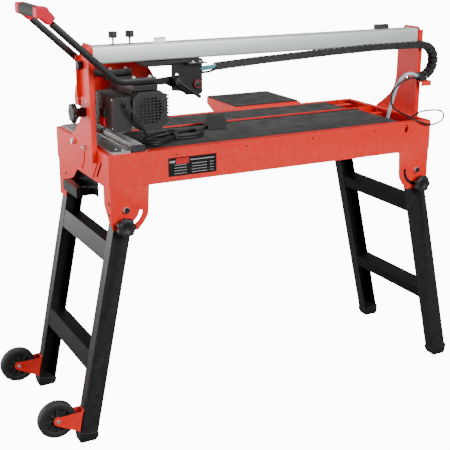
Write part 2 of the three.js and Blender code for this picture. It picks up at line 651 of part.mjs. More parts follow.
function legKnob(front) {
  const cz = -BOLT_DROP;
  const outer = front ? [-34, -14] : [DEPTH + 14, DEPTH + 34];
  let body = slab('y', star(0, cz, 31, 27, 7), outer[0], outer[1]);
  body = body.add(rod('y', 0, cz, 14, front ? -15 : DEPTH + GAP, front ? -GAP : DEPTH + 15, 14));
  return body.add(rod('y', 0, cz, 5, front ? -1 : DEPTH - 30, front ? 30 : DEPTH + 1, 12));
}

for (const left of [true, false]) {
  const side = left ? 'left' : 'right';
  const splay = left ? LEFT_SPLAY : RIGHT_SPLAY;
  const turn = [0, (left ? 1 : -1) * splay, 0];
  const pivot = [left ? LEG_PIVOT_X : LENGTH - LEG_PIVOT_X, 0, LEG_PIVOT_Z];
  const place = (solid) => solid.rotate(turn).translate(pivot);
  add(`${side}_leg_frame`, place(legFrame(left)), 'black');
  for (const front of [true, false]) {
    const end = front ? 'front' : 'rear';
    add(`${end}_${side}_foot`, footSolid(front, left).translate(pivot), 'black');
    add(`${end}_${side}_leg_knob`, place(legKnob(front)), 'black');
    if (left) {
      const y = front ? 26 : DEPTH - 26;
      add(`${end}_wheel`, place(wheel(y)), 'black');
    }
  }
}

// ---- mains lead, its hank and plug ----
const LEAD = [[66, 13.4, 254], [66, 8, 254], [70, -1, 248], [80, -4, 232], [92, -5, 214], [104, -4, 194],
  [116, 2, 176], [128, 18, 160], [145, 46, 144], [168, 80, 135], [196, 108, 132], [219, 124, 131.6],
  [238.1, 131.1, 131.6], [257.1, 137.3, 131.6]];
add('mains_lead', tube(LEAD, CABLE_RADIUS, 40), 'black');

function hank() {
  const shape = new THREE.Shape();
  shape.moveTo(30, -44);
  shape.quadraticCurveTo(0, -20, -30, -44);
  shape.absarc(-82, 0, 52, -0.9, -2 * Math.PI + 0.9, true);
  shape.quadraticCurveTo(0, 22, 30, 40);
  shape.absarc(82, 0, 48, 2.1, -2.1, true);
  const top = TABLE_TOP + 24;
  const tie = block(-8, 8, -12, 16, top - 1, top + 9);
  return slab('z', shape, TABLE_TOP + GAP, top, 8).add(tie).rotate([0, 0, 18]).translate([266, 137, 0]);
}
add('mains_hank', hank(), 'black');

function plug() {
  const z = TABLE_TOP + GAP;
  const side = [[440, z], [440, z + 20], [462, 150], [494, 150], [512, 126], [506, z]];
  let body = slab('y', side, 214, 256);
  for (const y of [225, 244]) {
    body = body.add(rod('x', y, z + 14, 2.4, 505, 524, 8));
  }
  // tapered strain relief down to the hank
  const relief = [[388.5, 182], [407, 191], [441, 226], [441, 240], [404, 199.5], [384.8, 189]];
  return body.add(slab('z', relief, z + 3, z + 13));
}
add('mains_plug', plug(), 'black');

// ---- water hose and pump cable ----
const HOSE = [[1210.8, 80, 250], [1203, 80, 251.5], [1192, 81, 256], [1176, 83, 260], [1156, 86, 254],
  [1141, 92, 238], [1132, 99, 214], [1128, 107, 184], [1125, 116, 150], [1123, 124, 116], [1123, 132, 88],
  [1124, 134, 74], [1124, 134, 62.4]];
add('water_hose', tube(HOSE, HOSE_RADIUS, 18, 10), 'clear');

const PUMP_CABLE = [[1210.8, 72, 242], [1204, 72, 242.4], [1190, 72, 244.5], [1168, 72, 245], [1140, 72, 236],
  [1112, 72, 222], [1093, 72, 196], [1092, 72, 164], [1104, 66, 142], [1114, 46, 132], [1123, 22, 125],
  [1140, 4, 113], [1162, -8, 103], [1186, -10, 94], [1210, -9, 90], [1236, -7, 92], [1260, -4, 101],
  [1277, 7, 115], [1276, 16, 127], [1259, 24, 132], [1236, 34, 132], [1214, 44, 129], [1198, 52, 123],
  [1184, 60, 111], [1174, 74, 96], [1168, 90, 80], [1163, 108, 66], [1158, 124, 57], [1150, 134, 53.4]];
add('pump_cable', tube(PUMP_CABLE, PUMP_CABLE_RADIUS, 64, 8), 'black');

// the origin is on the floor, under the middle of the machine without its cords
const CENTRE = new THREE.Vector3(555.8, 364, FLOOR);
machine.position.copy(CENTRE).negate();

export default machine;
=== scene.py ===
import json
import math

import bmesh
import bpy
from mathutils import Matrix, Vector

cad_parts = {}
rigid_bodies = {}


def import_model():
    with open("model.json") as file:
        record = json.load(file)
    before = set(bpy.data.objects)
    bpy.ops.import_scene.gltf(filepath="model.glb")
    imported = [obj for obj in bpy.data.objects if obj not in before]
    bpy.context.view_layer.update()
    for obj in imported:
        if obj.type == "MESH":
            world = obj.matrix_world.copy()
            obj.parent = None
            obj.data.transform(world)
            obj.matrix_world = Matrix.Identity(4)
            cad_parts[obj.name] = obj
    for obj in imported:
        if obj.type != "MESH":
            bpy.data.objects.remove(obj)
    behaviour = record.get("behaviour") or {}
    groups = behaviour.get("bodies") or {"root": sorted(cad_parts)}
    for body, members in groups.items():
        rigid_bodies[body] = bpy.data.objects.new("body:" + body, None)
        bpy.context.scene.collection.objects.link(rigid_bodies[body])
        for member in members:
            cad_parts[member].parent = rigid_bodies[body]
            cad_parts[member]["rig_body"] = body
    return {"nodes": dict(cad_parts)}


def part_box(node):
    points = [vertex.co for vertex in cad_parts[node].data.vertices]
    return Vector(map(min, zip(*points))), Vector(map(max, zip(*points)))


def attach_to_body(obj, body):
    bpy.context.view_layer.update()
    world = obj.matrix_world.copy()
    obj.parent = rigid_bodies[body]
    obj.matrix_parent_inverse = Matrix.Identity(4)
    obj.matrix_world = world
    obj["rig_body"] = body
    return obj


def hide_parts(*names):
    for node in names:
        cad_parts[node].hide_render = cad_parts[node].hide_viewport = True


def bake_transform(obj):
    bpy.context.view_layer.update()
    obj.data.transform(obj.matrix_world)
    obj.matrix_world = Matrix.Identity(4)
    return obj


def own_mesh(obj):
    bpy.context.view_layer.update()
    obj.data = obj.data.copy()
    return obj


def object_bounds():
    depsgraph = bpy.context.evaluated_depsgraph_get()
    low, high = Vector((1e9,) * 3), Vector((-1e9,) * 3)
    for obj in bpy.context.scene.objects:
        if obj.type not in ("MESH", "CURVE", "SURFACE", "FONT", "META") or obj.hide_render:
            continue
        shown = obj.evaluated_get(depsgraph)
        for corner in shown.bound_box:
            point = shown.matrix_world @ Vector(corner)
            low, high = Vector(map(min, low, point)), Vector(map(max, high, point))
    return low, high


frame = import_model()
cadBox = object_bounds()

scene = bpy.context.scene
cadNodes = frame["nodes"]

# the tables' corner fixes the tray's own corner, which every place below is measured from
tableCorner = Vector((126, 33, 91.3))
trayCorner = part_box("front_table")[0] - tableCorner / 1000


def at(x, y, z):  # millimetres from the tray's front left lower corner
    return trayCorner + Vector((x, y, z)) / 1000


def mm(value):
    return value / 1000


def addObject(name, data):
    thing = bpy.data.objects.new(name, data)
    scene.collection.objects.link(thing)
    return thing


# camera
view = {"place": (-950.2, -2588.7, 750.5), "azimuth": -27.418, "elevation": 17.464, "lens": 75.33}


def addCamera():
    data = bpy.data.cameras.new("camera")
    data.lens = view["lens"]
    data.sensor_width = 36
    camera = addObject("camera", data)
    turn, tip = math.radians(view["azimuth"]), math.radians(view["elevation"])
    back = Vector((math.sin(turn) * math.cos(tip), -math.cos(turn) * math.cos(tip), math.sin(tip)))
    camera.location = at(*view["place"])
    camera.rotation_mode = "QUATERNION"
    camera.rotation_quaternion = (-back).to_track_quat("-Z", "Y")
    scene.camera = camera


addCamera()
print("camera placed")


# shader groups
def groupTree(name, kind, inputs, outputs):
    tree = bpy.data.node_groups.new(name, kind)
    for label, socketKind, value in inputs:
        socket = tree.interface.new_socket(label, in_out="INPUT", socket_type="NodeSocket" + socketKind)
        if value is not None:
            socket.default_value = value
    for label, socketKind in outputs:
        tree.interface.new_socket(label, in_out="OUTPUT", socket_type="NodeSocket" + socketKind)
    return tree, tree.nodes.new("NodeGroupInput").outputs, tree.nodes.new("NodeGroupOutput").inputs


def addNode(tree, kind, given=None, **settings):  # given names each input's source socket or its plain value
    node = tree.nodes.new(kind)
    for key, value in settings.items():
        setattr(node, key, value)
    for key, value in (given or {}).items():
        if isinstance(value, bpy.types.NodeSocket):
            tree.links.new(value, node.inputs[key])
        else:
            node.inputs[key].default_value = value
    return node


def math2(tree, operation, first, second):
    return addNode(tree, "ShaderNodeMath", {0: first, 1: second}, operation=operation).outputs[0]


def mixColour(tree, factor, first, second):
    return addNode(tree, "ShaderNodeMix", {"Factor": factor, 6: first, 7: second}, data_type="RGBA").outputs[2]


def objectPlace(tree):
    return addNode(tree, "ShaderNodeTexCoord").outputs["Object"]


def noiseOf(tree, vector, scale, detail):
    return addNode(tree, "ShaderNodeTexNoise", {"Vector": vector, "Scale": scale, "Detail": detail}).outputs["Fac"]


def makeGrainGroup():  # fine grain over broad, faint patches of a second colour
    tree, given, made = groupTree(
        "fineGrain", "ShaderNodeTree",
        [("Colour", "Color", (1, 1, 1, 1)), ("Tint", "Color", (1, 1, 1, 1)),
         ("Drift", "Float", 0.3), ("Roughness", "Float", 0.5),
         ("Spread", "Float", 0.1), ("Scale", "Float", 900.0),
         ("Stretch", "Vector", (1, 1, 1))],
        [("Colour", "Color"), ("Roughness", "Float"), ("Height", "Float")])
    place = objectPlace(tree)
    mapping = addNode(tree, "ShaderNodeMapping", {"Vector": place, "Scale": given["Stretch"]})
    fine = noiseOf(tree, mapping.outputs[0], given["Scale"], 3)
    broad = noiseOf(tree, place, 7, 4)
    patch = math2(tree, "MULTIPLY", broad, given["Drift"])
    speck = math2(tree, "MULTIPLY", fine, given["Drift"])
    both = math2(tree, "ADD", patch, math2(tree, "MULTIPLY", speck, 0.6))
    tree.links.new(mixColour(tree, both, given["Colour"], given["Tint"]), made["Colour"])
    swing = math2(tree, "MULTIPLY", math2(tree, "SUBTRACT", fine, 0.5), given["Spread"])
    patchy = math2(tree, "MULTIPLY", math2(tree, "SUBTRACT", broad, 0.5), given["Spread"])
    rough = math2(tree, "ADD", math2(tree, "ADD", given["Roughness"], swing), patchy)
    tree.links.new(rough, made["Roughness"])
    tree.links.new(fine, made["Height"])
    return tree


def makeEdgeWearAndHighlightGroup():  # paler along sharp edges, broken up by noise: partly edge wear, partly a painted highlight where light catches the edges
    tree, given, made = groupTree(
        "edgeWearAndHighlight", "ShaderNodeTree",
        [("Colour", "Color", (1, 1, 1, 1)), ("WornAndLitColour", "Color", (1, 1, 1, 1)),
         ("Amount", "Float", 0.3)],
        [("Colour", "Color")])
    sharp = addNode(tree, "ShaderNodeNewGeometry").outputs["Pointiness"]
    ramp = addNode(tree, "ShaderNodeMapRange", {"Value": sharp, "From Min": 0.51, "From Max": 0.62})
    broken = noiseOf(tree, objectPlace(tree), 60, 3)
    mask = math2(tree, "MULTIPLY", math2(tree, "MULTIPLY", ramp.outputs[0], broken), given["Amount"])
    tree.links.new(mixColour(tree, mask, given["Colour"], given["WornAndLitColour"]), made["Colour"])
    return tree


def makeDustGroup():  # stone dust that settles on faces that look up
    tree, given, made = groupTree(
        "stoneDust", "ShaderNodeTree",
        [("Colour", "Color", (1, 1, 1, 1)), ("Dust", "Color", (0.5, 0.48, 0.45, 1)),
         ("Roughness", "Float", 0.5), ("Amount", "Float", 0.1)],
        [("Colour", "Color"), ("Roughness", "Float")])
    normal = addNode(tree, "ShaderNodeNewGeometry").outputs["Normal"]
    split = addNode(tree, "ShaderNodeSeparateXYZ", {0: normal})
    upward = math2(tree, "MAXIMUM", split.outputs["Z"], 0)
    cloud = noiseOf(tree, objectPlace(tree), 22, 5)
    thick = math2(tree, "MAXIMUM", math2(tree, "SUBTRACT", cloud, 0.35), 0)
    mask = math2(tree, "MULTIPLY", math2(tree, "MULTIPLY", upward, thick), given["Amount"])
    tree.links.new(mixColour(tree, mask, given["Colour"], given["Dust"]), made["Colour"])
    tree.links.new(math2(tree, "ADD", given["Roughness"], mask), made["Roughness"])
    return tree


grainGroup = makeGrainGroup()
edgeWearAndHighlightGroup = makeEdgeWearAndHighlightGroup()
dustGroup = makeDustGroup()

# finishes: colours holds the main colour and the tint of its faint patches
# the edge colour and its amount make sharp edges paler: partly edge wear, partly a painted highlight
plainLook = {"drift": 0.25, "rough": 0.5, "spread": 0.12, "scale": 900.0, "stretch": (1, 1, 1),
             "bump": 0.08, "depth": 0.0004, "wornAndLit": (0.6, 0.6, 0.6), "wearAndHighlight": 0.0, "dust": 0.0,
             "metal": 0.0, "coat": 0.0, "coatRough": 0.2, "specular": 0.5, "glassy": 0.0}

looks = {
    "redPaint": {"colours": ((0.95, 0.004, 0.0), (0.86, 0.002, 0.0)), "rough": 0.42, "specular": 0.25,
                 "spread": 0.10, "scale": 700.0, "bump": 0.10, "wornAndLit": (0.95, 0.30, 0.22), "wearAndHighlight": 0.5,
                 "dust": 0.05, "coat": 0.08},
    "blackPaint": {"colours": ((0.004, 0.004, 0.0042), (0.007, 0.007, 0.0072)), "rough": 0.36, "specular": 0.4,
                   "scale": 800.0, "bump": 0.12, "wornAndLit": (0.22, 0.22, 0.22), "wearAndHighlight": 0.3, "dust": 0.03},
    "tableCoating": {"colours": ((0.014, 0.0142, 0.0146), (0.02, 0.0203, 0.0208)), "rough": 0.72, "spread": 0.16,
                     "scale": 1500.0, "bump": 0.45, "depth": 0.0006, "wornAndLit": (0.2, 0.2, 0.2), "wearAndHighlight": 0.2,
                     "dust": 0.25},
    "beamAluminium": {"colours": ((0.74, 0.83, 0.80), (0.66, 0.75, 0.72)), "rough": 0.42, "spread": 0.14,
                      "scale": 260.0, "stretch": (0.03, 1.6, 1.6), "bump": 0.05, "metal": 0.55, "dust": 0.04},
    "fenceAluminium": {"colours": ((0.58, 0.59, 0.58), (0.44, 0.45, 0.45)), "rough": 0.34, "spread": 0.25,
                       "scale": 320.0, "stretch": (1.6, 0.03, 1.6), "bump": 0.08, "metal": 0.9, "dust": 0.1},
    "brightSteel": {"colours": ((0.78, 0.78, 0.77), (0.6, 0.6, 0.6)), "rough": 0.3, "spread": 0.2,
                    "scale": 500.0, "bump": 0.06, "metal": 0.55, "dust": 0.05},
    "bladeSteel": {"colours": ((0.42, 0.42, 0.43), (0.3, 0.3, 0.31)), "rough": 0.32, "spread": 0.25,
                   "scale": 240.0, "bump": 0.05, "metal": 1.0, "dust": 0.1},
    "blackPlastic": {"colours": ((0.007, 0.007, 0.0073), (0.012, 0.012, 0.0122)), "rough": 0.5, "spread": 0.14,
                     "scale": 1600.0, "bump": 0.25, "wornAndLit": (0.16, 0.16, 0.16), "wearAndHighlight": 0.35, "dust": 0.06},
    "motorCasting": {"colours": ((0.009, 0.009, 0.0094), (0.014, 0.014, 0.0144)), "rough": 0.55, "spread": 0.16,
                     "scale": 700.0, "bump": 0.3, "wornAndLit": (0.2, 0.2, 0.2), "wearAndHighlight": 0.4, "dust": 0.15},
    "chainPlastic": {"colours": ((0.004, 0.004, 0.0042), (0.008, 0.008, 0.0082)), "rough": 0.38, "spread": 0.12,
                     "scale": 1200.0, "bump": 0.12, "wornAndLit": (0.14, 0.14, 0.14), "wearAndHighlight": 0.4},
    "gripRubber": {"colours": ((0.055, 0.058, 0.058), (0.075, 0.078, 0.078)), "rough": 0.78, "spread": 0.1,
                   "scale": 1500.0, "bump": 0.4, "dust": 0.08},
    "crimsonPlastic": {"colours": ((0.85, 0.0, 0.03), (0.75, 0.0, 0.025)), "rough": 0.45, "specular": 0.25,
                       "spread": 0.1, "scale": 1200.0, "bump": 0.12, "wornAndLit": (0.9, 0.2, 0.22), "wearAndHighlight": 0.2},
    "greenPlastic": {"colours": ((0.005, 0.045, 0.02), (0.004, 0.035, 0.016)), "rough": 0.35, "scale": 1200.0},
    "wheelTyre": {"colours": ((0.013, 0.013, 0.013), (0.02, 0.02, 0.02)), "rough": 0.62, "spread": 0.16,
                  "scale": 1000.0, "bump": 0.25, "wornAndLit": (0.13, 0.13, 0.13), "wearAndHighlight": 0.3, "dust": 0.2},
    "cableRubber": {"colours": ((0.014, 0.014, 0.0145), (0.022, 0.022, 0.022)), "rough": 0.48, "spread": 0.12,
                    "scale": 1400.0, "bump": 0.12},
    "clearHose": {"colours": ((0.66, 0.88, 0.95), (0.56, 0.80, 0.88)), "rough": 0.16, "spread": 0.08,
                  "scale": 300.0, "bump": 0.05, "glassy": 0.35},
    "labelFilm": {"colours": ((0.010, 0.010, 0.011), (0.016, 0.016, 0.017)), "rough": 0.24, "scale": 600.0},
    "labelRed": {"colours": ((0.70, 0.02, 0.03), (0.6, 0.016, 0.024)), "rough": 0.26, "scale": 600.0},
    "labelGrey": {"colours": ((0.42, 0.42, 0.42), (0.34, 0.34, 0.34)), "rough": 0.3, "scale": 600.0},
    "pivotRed": {"colours": ((0.22, 0.03, 0.02), (0.16, 0.02, 0.015)), "rough": 0.55, "scale": 600.0},
    "tealHose": {"colours": ((0.10, 0.38, 0.42), (0.22, 0.52, 0.56)), "rough": 0.25, "scale": 120.0},
    "shadowRed": {"colours": ((0.16, 0.006, 0.005), (0.12, 0.004, 0.004)), "rough": 0.6, "scale": 600.0},
}


def makeFinish(name, look):
    look = {**plainLook, **look}
    material = bpy.data.materials.new(name)
    material.use_nodes = True
    tree = material.node_tree
    tree.nodes.clear()
    grain = addNode(tree, "ShaderNodeGroup", {
        "Colour": (*look["colours"][0], 1), "Tint": (*look["colours"][1], 1), "Drift": look["drift"],
        "Roughness": look["rough"], "Spread": look["spread"], "Scale": look["scale"],
        "Stretch": look["stretch"]}, node_tree=grainGroup)
    colour, rough = grain.outputs["Colour"], grain.outputs["Roughness"]
    # paler sharp edges: partly edge wear, partly a painted highlight
    if look["wearAndHighlight"]:
        wearAndHighlight = addNode(tree, "ShaderNodeGroup", {"Colour": colour, "WornAndLitColour": (*look["wornAndLit"], 1), "Amount": look["wearAndHighlight"]},
                       node_tree=edgeWearAndHighlightGroup)
        colour = wearAndHighlight.outputs["Colour"]
    if look["dust"]:
        dust = addNode(tree, "ShaderNodeGroup", {"Colour": colour, "Roughness": rough, "Amount": look["dust"]},
                       node_tree=dustGroup)
        colour, rough = dust.outputs["Colour"], dust.outputs["Roughness"]
    bump = addNode(tree, "ShaderNodeBump", {"Height": grain.outputs["Height"], "Strength": look["bump"],
                                            "Distance": look["depth"]})
    shader = addNode(tree, "ShaderNodeBsdfPrincipled", {
        "Base Color": colour, "Roughness": rough, "Normal": bump.outputs[0], "Metallic": look["metal"],
        "Coat Weight": look["coat"], "Coat Roughness": look["coatRough"], "Specular IOR Level": look["specular"],
        "Transmission Weight": look["glassy"]})
    addNode(tree, "ShaderNodeOutputMaterial", {"Surface": shader.outputs[0]})
    return material


finish = {name: makeFinish(name, look) for name, look in looks.items()}
print("finishes made:", len(finish))


# helpers that make pieces
def attach(piece, body, replaced):
    if body:
        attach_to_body(piece, body)
    if replaced:
        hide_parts(*replaced)


def addPiece(name, mesh, look, body=None, replaced=()):
    piece = addObject(name, mesh)
    mesh.name = name
    mesh.materials.clear()
    mesh.materials.append(finish[look])
    attach(piece, body, replaced)
    return piece


def meshFrom(grid, sharp=40):  # a bmesh turned into a mesh with smooth faces and sharp corners
    bmesh.ops.recalc_face_normals(grid, faces=grid.faces)
    mesh = bpy.data.meshes.new("shape")
    grid.to_mesh(mesh)
    grid.free()
    mesh.polygons.foreach_set("use_smooth", [True] * len(mesh.polygons))
    mesh.set_sharp_from_angle(angle=math.radians(sharp))
    return mesh


def baked(piece):  # the piece's mesh with its modifiers worked in
    graph = bpy.context.evaluated_depsgraph_get()
    graph.update()
    mesh = bpy.data.meshes.new_from_object(piece.evaluated_get(graph))
    piece.modifiers.clear()
    piece.data = mesh
    return mesh


def addRounded(name, mesh, look, body, replaced, width, steps=2, sharp=35):  # a piece with its sharp edges rounded
    piece = addPiece(name, mesh, look)
    bevel = piece.modifiers.new("round", "BEVEL")
    bevel.width = mm(width)
    bevel.segments = steps
    bevel.limit_method = "ANGLE"
    bevel.angle_limit = math.radians(sharp)
    bevel.harden_normals = True
    baked(piece)
    attach(piece, body, replaced)
    return piece


def softened(node, look, width):  # a CAD node's shape again, with its edges rounded off
    grid = bmesh.new()
    grid.from_mesh(cadNodes[node].data)
    bmesh.ops.remove_doubles(grid, verts=grid.verts, dist=mm(0.005))
    bmesh.ops.dissolve_limit(grid, angle_limit=math.radians(0.5), verts=grid.verts, edges=grid.edges)
    return addRounded(node + "_formed", meshFrom(grid, 35), look, cadNodes[node]["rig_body"], [node], width)


def smoothRoute(points, step=0.004):  # a centripetal curve through the points
    route = []
    last = len(points) - 1
    for i in range(last):
        here, there = points[i], points[i + 1]
        before = points[i - 1] if i else here * 2 - there
        after = points[i + 2] if i + 2 <= last else there * 2 - here
        gaps = [max((b - a).length ** 0.5, 1e-6) for a, b in ((before, here), (here, there), (there, after))]
        leave = ((here - before) / gaps[0] - (there - before) / (gaps[0] + gaps[1])
                 + (there - here) / gaps[1]) * gaps[1]
        arrive = ((there - here) / gaps[1] - (after - here) / (gaps[1] + gaps[2])
                  + (after - there) / gaps[2]) * gaps[1]
        count = max(2, round((there - here).length / step))
        for k in range(count):
            t = k / count
            route.append(here * (2 * t**3 - 3 * t**2 + 1) + leave * (t**3 - 2 * t**2 + t)
                         + there * (3 * t**2 - 2 * t**3) + arrive * (t**3 - t**2))
    route.append(points[-1])
    return route


def stitch(grid, rings):  # faces between each ring of corners and the next
    for near, far in zip(rings, rings[1:]):
        for k in range(len(near)):
            j = (k + 1) % len(near)
            grid.faces.new((near[k], near[j], far[j], far[k]))


def circleSection(radius, sides):
    return [(radius * math.cos(2 * math.pi * i / sides), radius * math.sin(2 * math.pi * i / sides))
            for i in range(sides)]


def sweptMesh(route, section, scales=None, side=None):  # the section carried along the route
    grid = bmesh.new()
    rings = []
    tangent = (route[1] - route[0]).normalized()
    across = side.copy() if side else tangent.orthogonal().normalized()
    for i, place in enumerate(route):
        following = (route[min(i + 1, len(route) - 1)] - route[max(i - 1, 0)]).normalized()
        across.rotate(tangent.rotation_difference(following))
        tangent = following
        across = (across - tangent * across.dot(tangent)).normalized()
        up = tangent.cross(across)
        size = scales[i] if scales else 1
        rings.append([grid.verts.new(place + (across * a + up * b) * size) for a, b in section])
    stitch(grid, rings)
    grid.faces.new(rings[0][::-1])
    grid.faces.new(rings[-1])
    return meshFrom(grid)


axisTurns = {"x": Matrix(((0, 0, 1), (1, 0, 0), (0, 1, 0))), "y": Matrix(((1, 0, 0), (0, 0, -1), (0, 1, 0))),
             "z": Matrix.Identity(3)}


def latheMesh(centre, axis, profile, sides=48, wave=None, sharp=40):
    # profile points are (radius, height along the axis); wave changes the radius with the angle
    grid = bmesh.new()
    turn = axisTurns[axis]
    rings = []
    for radius, height in profile:
        ring = []
        for k in range(sides):
            angle = 2 * math.pi * k / sides
            reach = radius * (wave(angle, radius) if wave else 1)
            spot = turn @ Vector((reach * math.cos(angle), reach * math.sin(angle), height))
            ring.append(grid.verts.new(centre + spot / 1000))
        rings.append(ring)
    stitch(grid, rings)
    if profile[0][0] > 0 and profile[0] != profile[-1]:
        grid.faces.new(rings[0][::-1])
        grid.faces.new(rings[-1])
    bmesh.ops.remove_doubles(grid, verts=grid.verts, dist=1e-7)
    return meshFrom(grid, sharp)


def slabMesh(place, outline, low, high):  # an outline thickened from low to high; place sets each corner
    grid = bmesh.new()
    ends = [[grid.verts.new(place(a, b, depth)) for a, b in outline] for depth in (low, high)]
    grid.faces.new(ends[0])
    grid.faces.new(ends[1])
    stitch(grid, ends)
    return meshFrom(grid)


def acrossX(a, b, depth):
    return at(depth, a, b)


def acrossY(a, b, depth):
    return at(a, depth, b)


def boxesMesh(boxes, shift=Vector()):  # boxes given by their low and high corners in millimetres
    grid = bmesh.new()
    for low, high in boxes:
        for vert in bmesh.ops.create_cube(grid, size=1)["verts"]:
            vert.co = shift + Vector([mm(a + (share + 0.5) * (b - a)) for a, b, share in zip(low, high, vert.co)])
    return meshFrom(grid)


def addBoxes(name, look, body, boxes):
    return addPiece(name, boxesMesh(boxes, at(0, 0, 0)), look, body)


def joinMeshes(meshes):
    grid = bmesh.new()
    for mesh in meshes:
        grid.from_mesh(mesh)
    return meshFrom(grid)


def roundedOutline(a0, a1, b0, b1, radius):
    steps = 4
    points = []
    for a, b, start in ((a1 - radius, b0 + radius, -90), (a1 - radius, b1 - radius, 0),
                        (a0 + radius, b1 - radius, 90), (a0 + radius, b0 + radius, 180)):
        for k in range(steps + 1):
            angle = math.radians(start + 90 * k / steps)
            points.append((a + radius * math.cos(angle), b + radius * math.sin(angle)))
    return points


def routeLength(route):
    return sum((b - a).length for a, b in zip(route, route[1:]))


# cords, each drawn through its own points
cordSizes = {"lead": 7.6, "hose": 13.0, "pumpCable": 6.0}
leadRoute = [(66, 13.4, 254), (66, 8, 254), (70, -1, 248), (80, -4, 232), (92, -5, 214), (104, -4, 194),
             (116, 2, 176), (128, 18, 160), (145, 46, 144), (168, 80, 135), (196, 108, 132), (219, 124, 131.6),
             (238.1, 131.1, 131.6), (257.1, 137.3, 131.6)]
hoseRoute = [(1210.8, 80, 250), (1203, 80, 251.5), (1192, 81, 256), (1176, 83, 260), (1156, 86, 254),
             (1141, 92, 238), (1132, 99, 214), (1128, 107, 184), (1125, 116, 150), (1123, 124, 116),
             (1123, 132, 88), (1124, 134, 74), (1124, 134, 62.4)]
pumpCableRoute = [(1210.8, 72, 242), (1204, 72, 242.4), (1190, 72, 244.5), (1168, 72, 245), (1140, 72, 236),
                  (1112, 72, 222), (1093, 72, 196), (1092, 72, 164), (1104, 66, 142), (1114, 46, 132),
                  (1123, 22, 125), (1140, 4, 113), (1162, -8, 103), (1186, -10, 94), (1210, -9, 90),
                  (1236, -7, 92), (1260, -4, 101), (1277, 7, 115), (1276, 16, 127), (1259, 24, 132),
                  (1236, 34, 132), (1214, 44, 129), (1198, 52, 123), (1184, 60, 111), (1174, 74, 96),
                  (1168, 90, 80), (1163, 108, 66), (1158, 124, 57), (1150, 134, 53.4)]


def addCord(name, points, size, look, node, sides=12):
    route = smoothRoute([at(*p) for p in points], 0.004)
    piece = addPiece(name, sweptMesh(route, circleSection(mm(size) / 2, sides)), look)
    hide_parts(node)
    return piece, route


lead, leadLine = addCord("lead_to_hank", leadRoute, cordSizes["lead"], "cableRubber", "mains_lead")
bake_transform(lead)
hose, hoseLine = addCord("clear_water_hose", hoseRoute, cordSizes["hose"], "clearHose", "water_hose", 16)
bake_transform(hose)
pumpCable, pumpLine = addCord("pump_flex", pumpCableRoute, cordSizes["pumpCable"], "cableRubber", "pump_cable")
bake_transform(pumpCable)

# the folded part of the lead: loops round two lobes, drawn in at the waist by a tie
hank = {"centre": (266, 137), "turn": 18, "reach": 82, "rings": (29.9, 38.7, 47.2), "waist": (9.8, 18.4, 26.8),
        "layers": (115.6, 107.5), "points": 56, "turns": (3, 2.72), "join": 0.11}


def lobePoint(share, radius, waist):
    # a clockwise loop from the middle of its upper run: right lobe, lower run, left lobe
    reach = hank["reach"]
    straight, bend = 2 * reach, math.pi * radius
    along = share * 2 * (straight + bend)

    def neck(x):
        t = min(abs(x) / reach, 1)
        return waist + (radius - waist) * t * t * (3 - 2 * t)

    if along < reach:
        return along, neck(along)
    if along < reach + bend:
        angle = math.pi / 2 - (along - reach) / radius
        return reach + radius * math.cos(angle), radius * math.sin(angle)
    if along < reach + bend + straight:
        x = reach - (along - reach - bend)
        return x, -neck(x)
    if along < reach + 2 * bend + straight:
        angle = -math.pi / 2 - (along - reach - bend - straight) / radius
        return -reach + radius * math.cos(angle), radius * math.sin(angle)
    x = -reach + (along - reach - 2 * bend - straight)
    return x, neck(x)


def hankPlace(x, y, z):
    turn = math.radians(hank["turn"])
    return at(hank["centre"][0] + x * math.cos(turn) - y * math.sin(turn),
              hank["centre"][1] + x * math.sin(turn) + y * math.cos(turn), z)


def hankRoute():
    pitch = hank["rings"][1] - hank["rings"][0]
    neckPitch = hank["waist"][1] - hank["waist"][0]
    upper, lower = hank["layers"]
    first = hank["join"]  # where on a loop the lead joins it
    points = [(-8.2, 3, 131.6), (4, 4.4, 131), (20, 9, 127.6), (38, 15, 121)]
    outward, back = hank["turns"]
    steps = hank["points"]
    for k in range(outward * steps + 1):
        share = first + k / steps
        out = max(0, k / steps - 0.5) if k < 2.5 * steps else 2.0
        radius = hank["rings"][0] + pitch * out
        x, y = lobePoint(share % 1, radius, hank["waist"][0] + neckPitch * out)
        drop = min(1, max(0, (k / steps - 2.5) / 0.5))
        points.append((x, y, upper + (lower - upper) * drop * drop * (3 - 2 * drop)))
    for k in range(1, int(back * steps)):
        share = first + k / steps
        inward = min(2, k / steps)
        radius = hank["rings"][2] - pitch * inward
        x, y = lobePoint(share % 1, radius, hank["waist"][2] - neckPitch * inward)
        points.append((x, y, lower))
    # over the loops and out to the plug
    points += [(-98, 17, 109), (-84, 20.5, 112), (-68, 14, 116.5), (-48, 3, 121.5), (-24, -4, 123.6),
               (0, -5.5, 123.6), (30, -6, 123.6), (62, -6, 123.6), (92, -3, 122.6), (112, 3, 118), (128.9, 8.2, 112.4)]
    # it ends inside the plug's tapered sleeve
    return [hankPlace(*p) for p in points] + [at(397, 190.5, 111.6), at(408, 199, 111.6), at(422, 213, 111.6)]


hankLine = smoothRoute(hankRoute(), 0.006)
hankCord = addPiece("folded_lead", sweptMesh(hankLine, circleSection(mm(cordSizes["lead"]) / 2, 10)),
                    "cableRubber", "frame", ["mains_hank"])
tieOutline = roundedOutline(-31.5, 31.5, 103.9, 128.2, 7)
tieHole = roundedOutline(-29.9, 29.9, 105.2, 126.6, 6)


def addTie():
    grid = bmesh.new()
    rings = [[grid.verts.new(hankPlace(x, y, z)) for y, z in outline]
             for outline, x in ((tieOutline, -5), (tieOutline, 5), (tieHole, 5), (tieHole, -5))]
    stitch(grid, rings + rings[:1])
    return addPiece("lead_tie", meshFrom(grid), "blackPlastic", "frame")


leadTie = addTie()
plugPiece = softened("mains_plug", "blackPlastic", 1.6)
print("cord lengths", [round(routeLength(line), 4) for line in (leadLine, hankLine, hoseLine, pumpLine)])
print("cords laid")

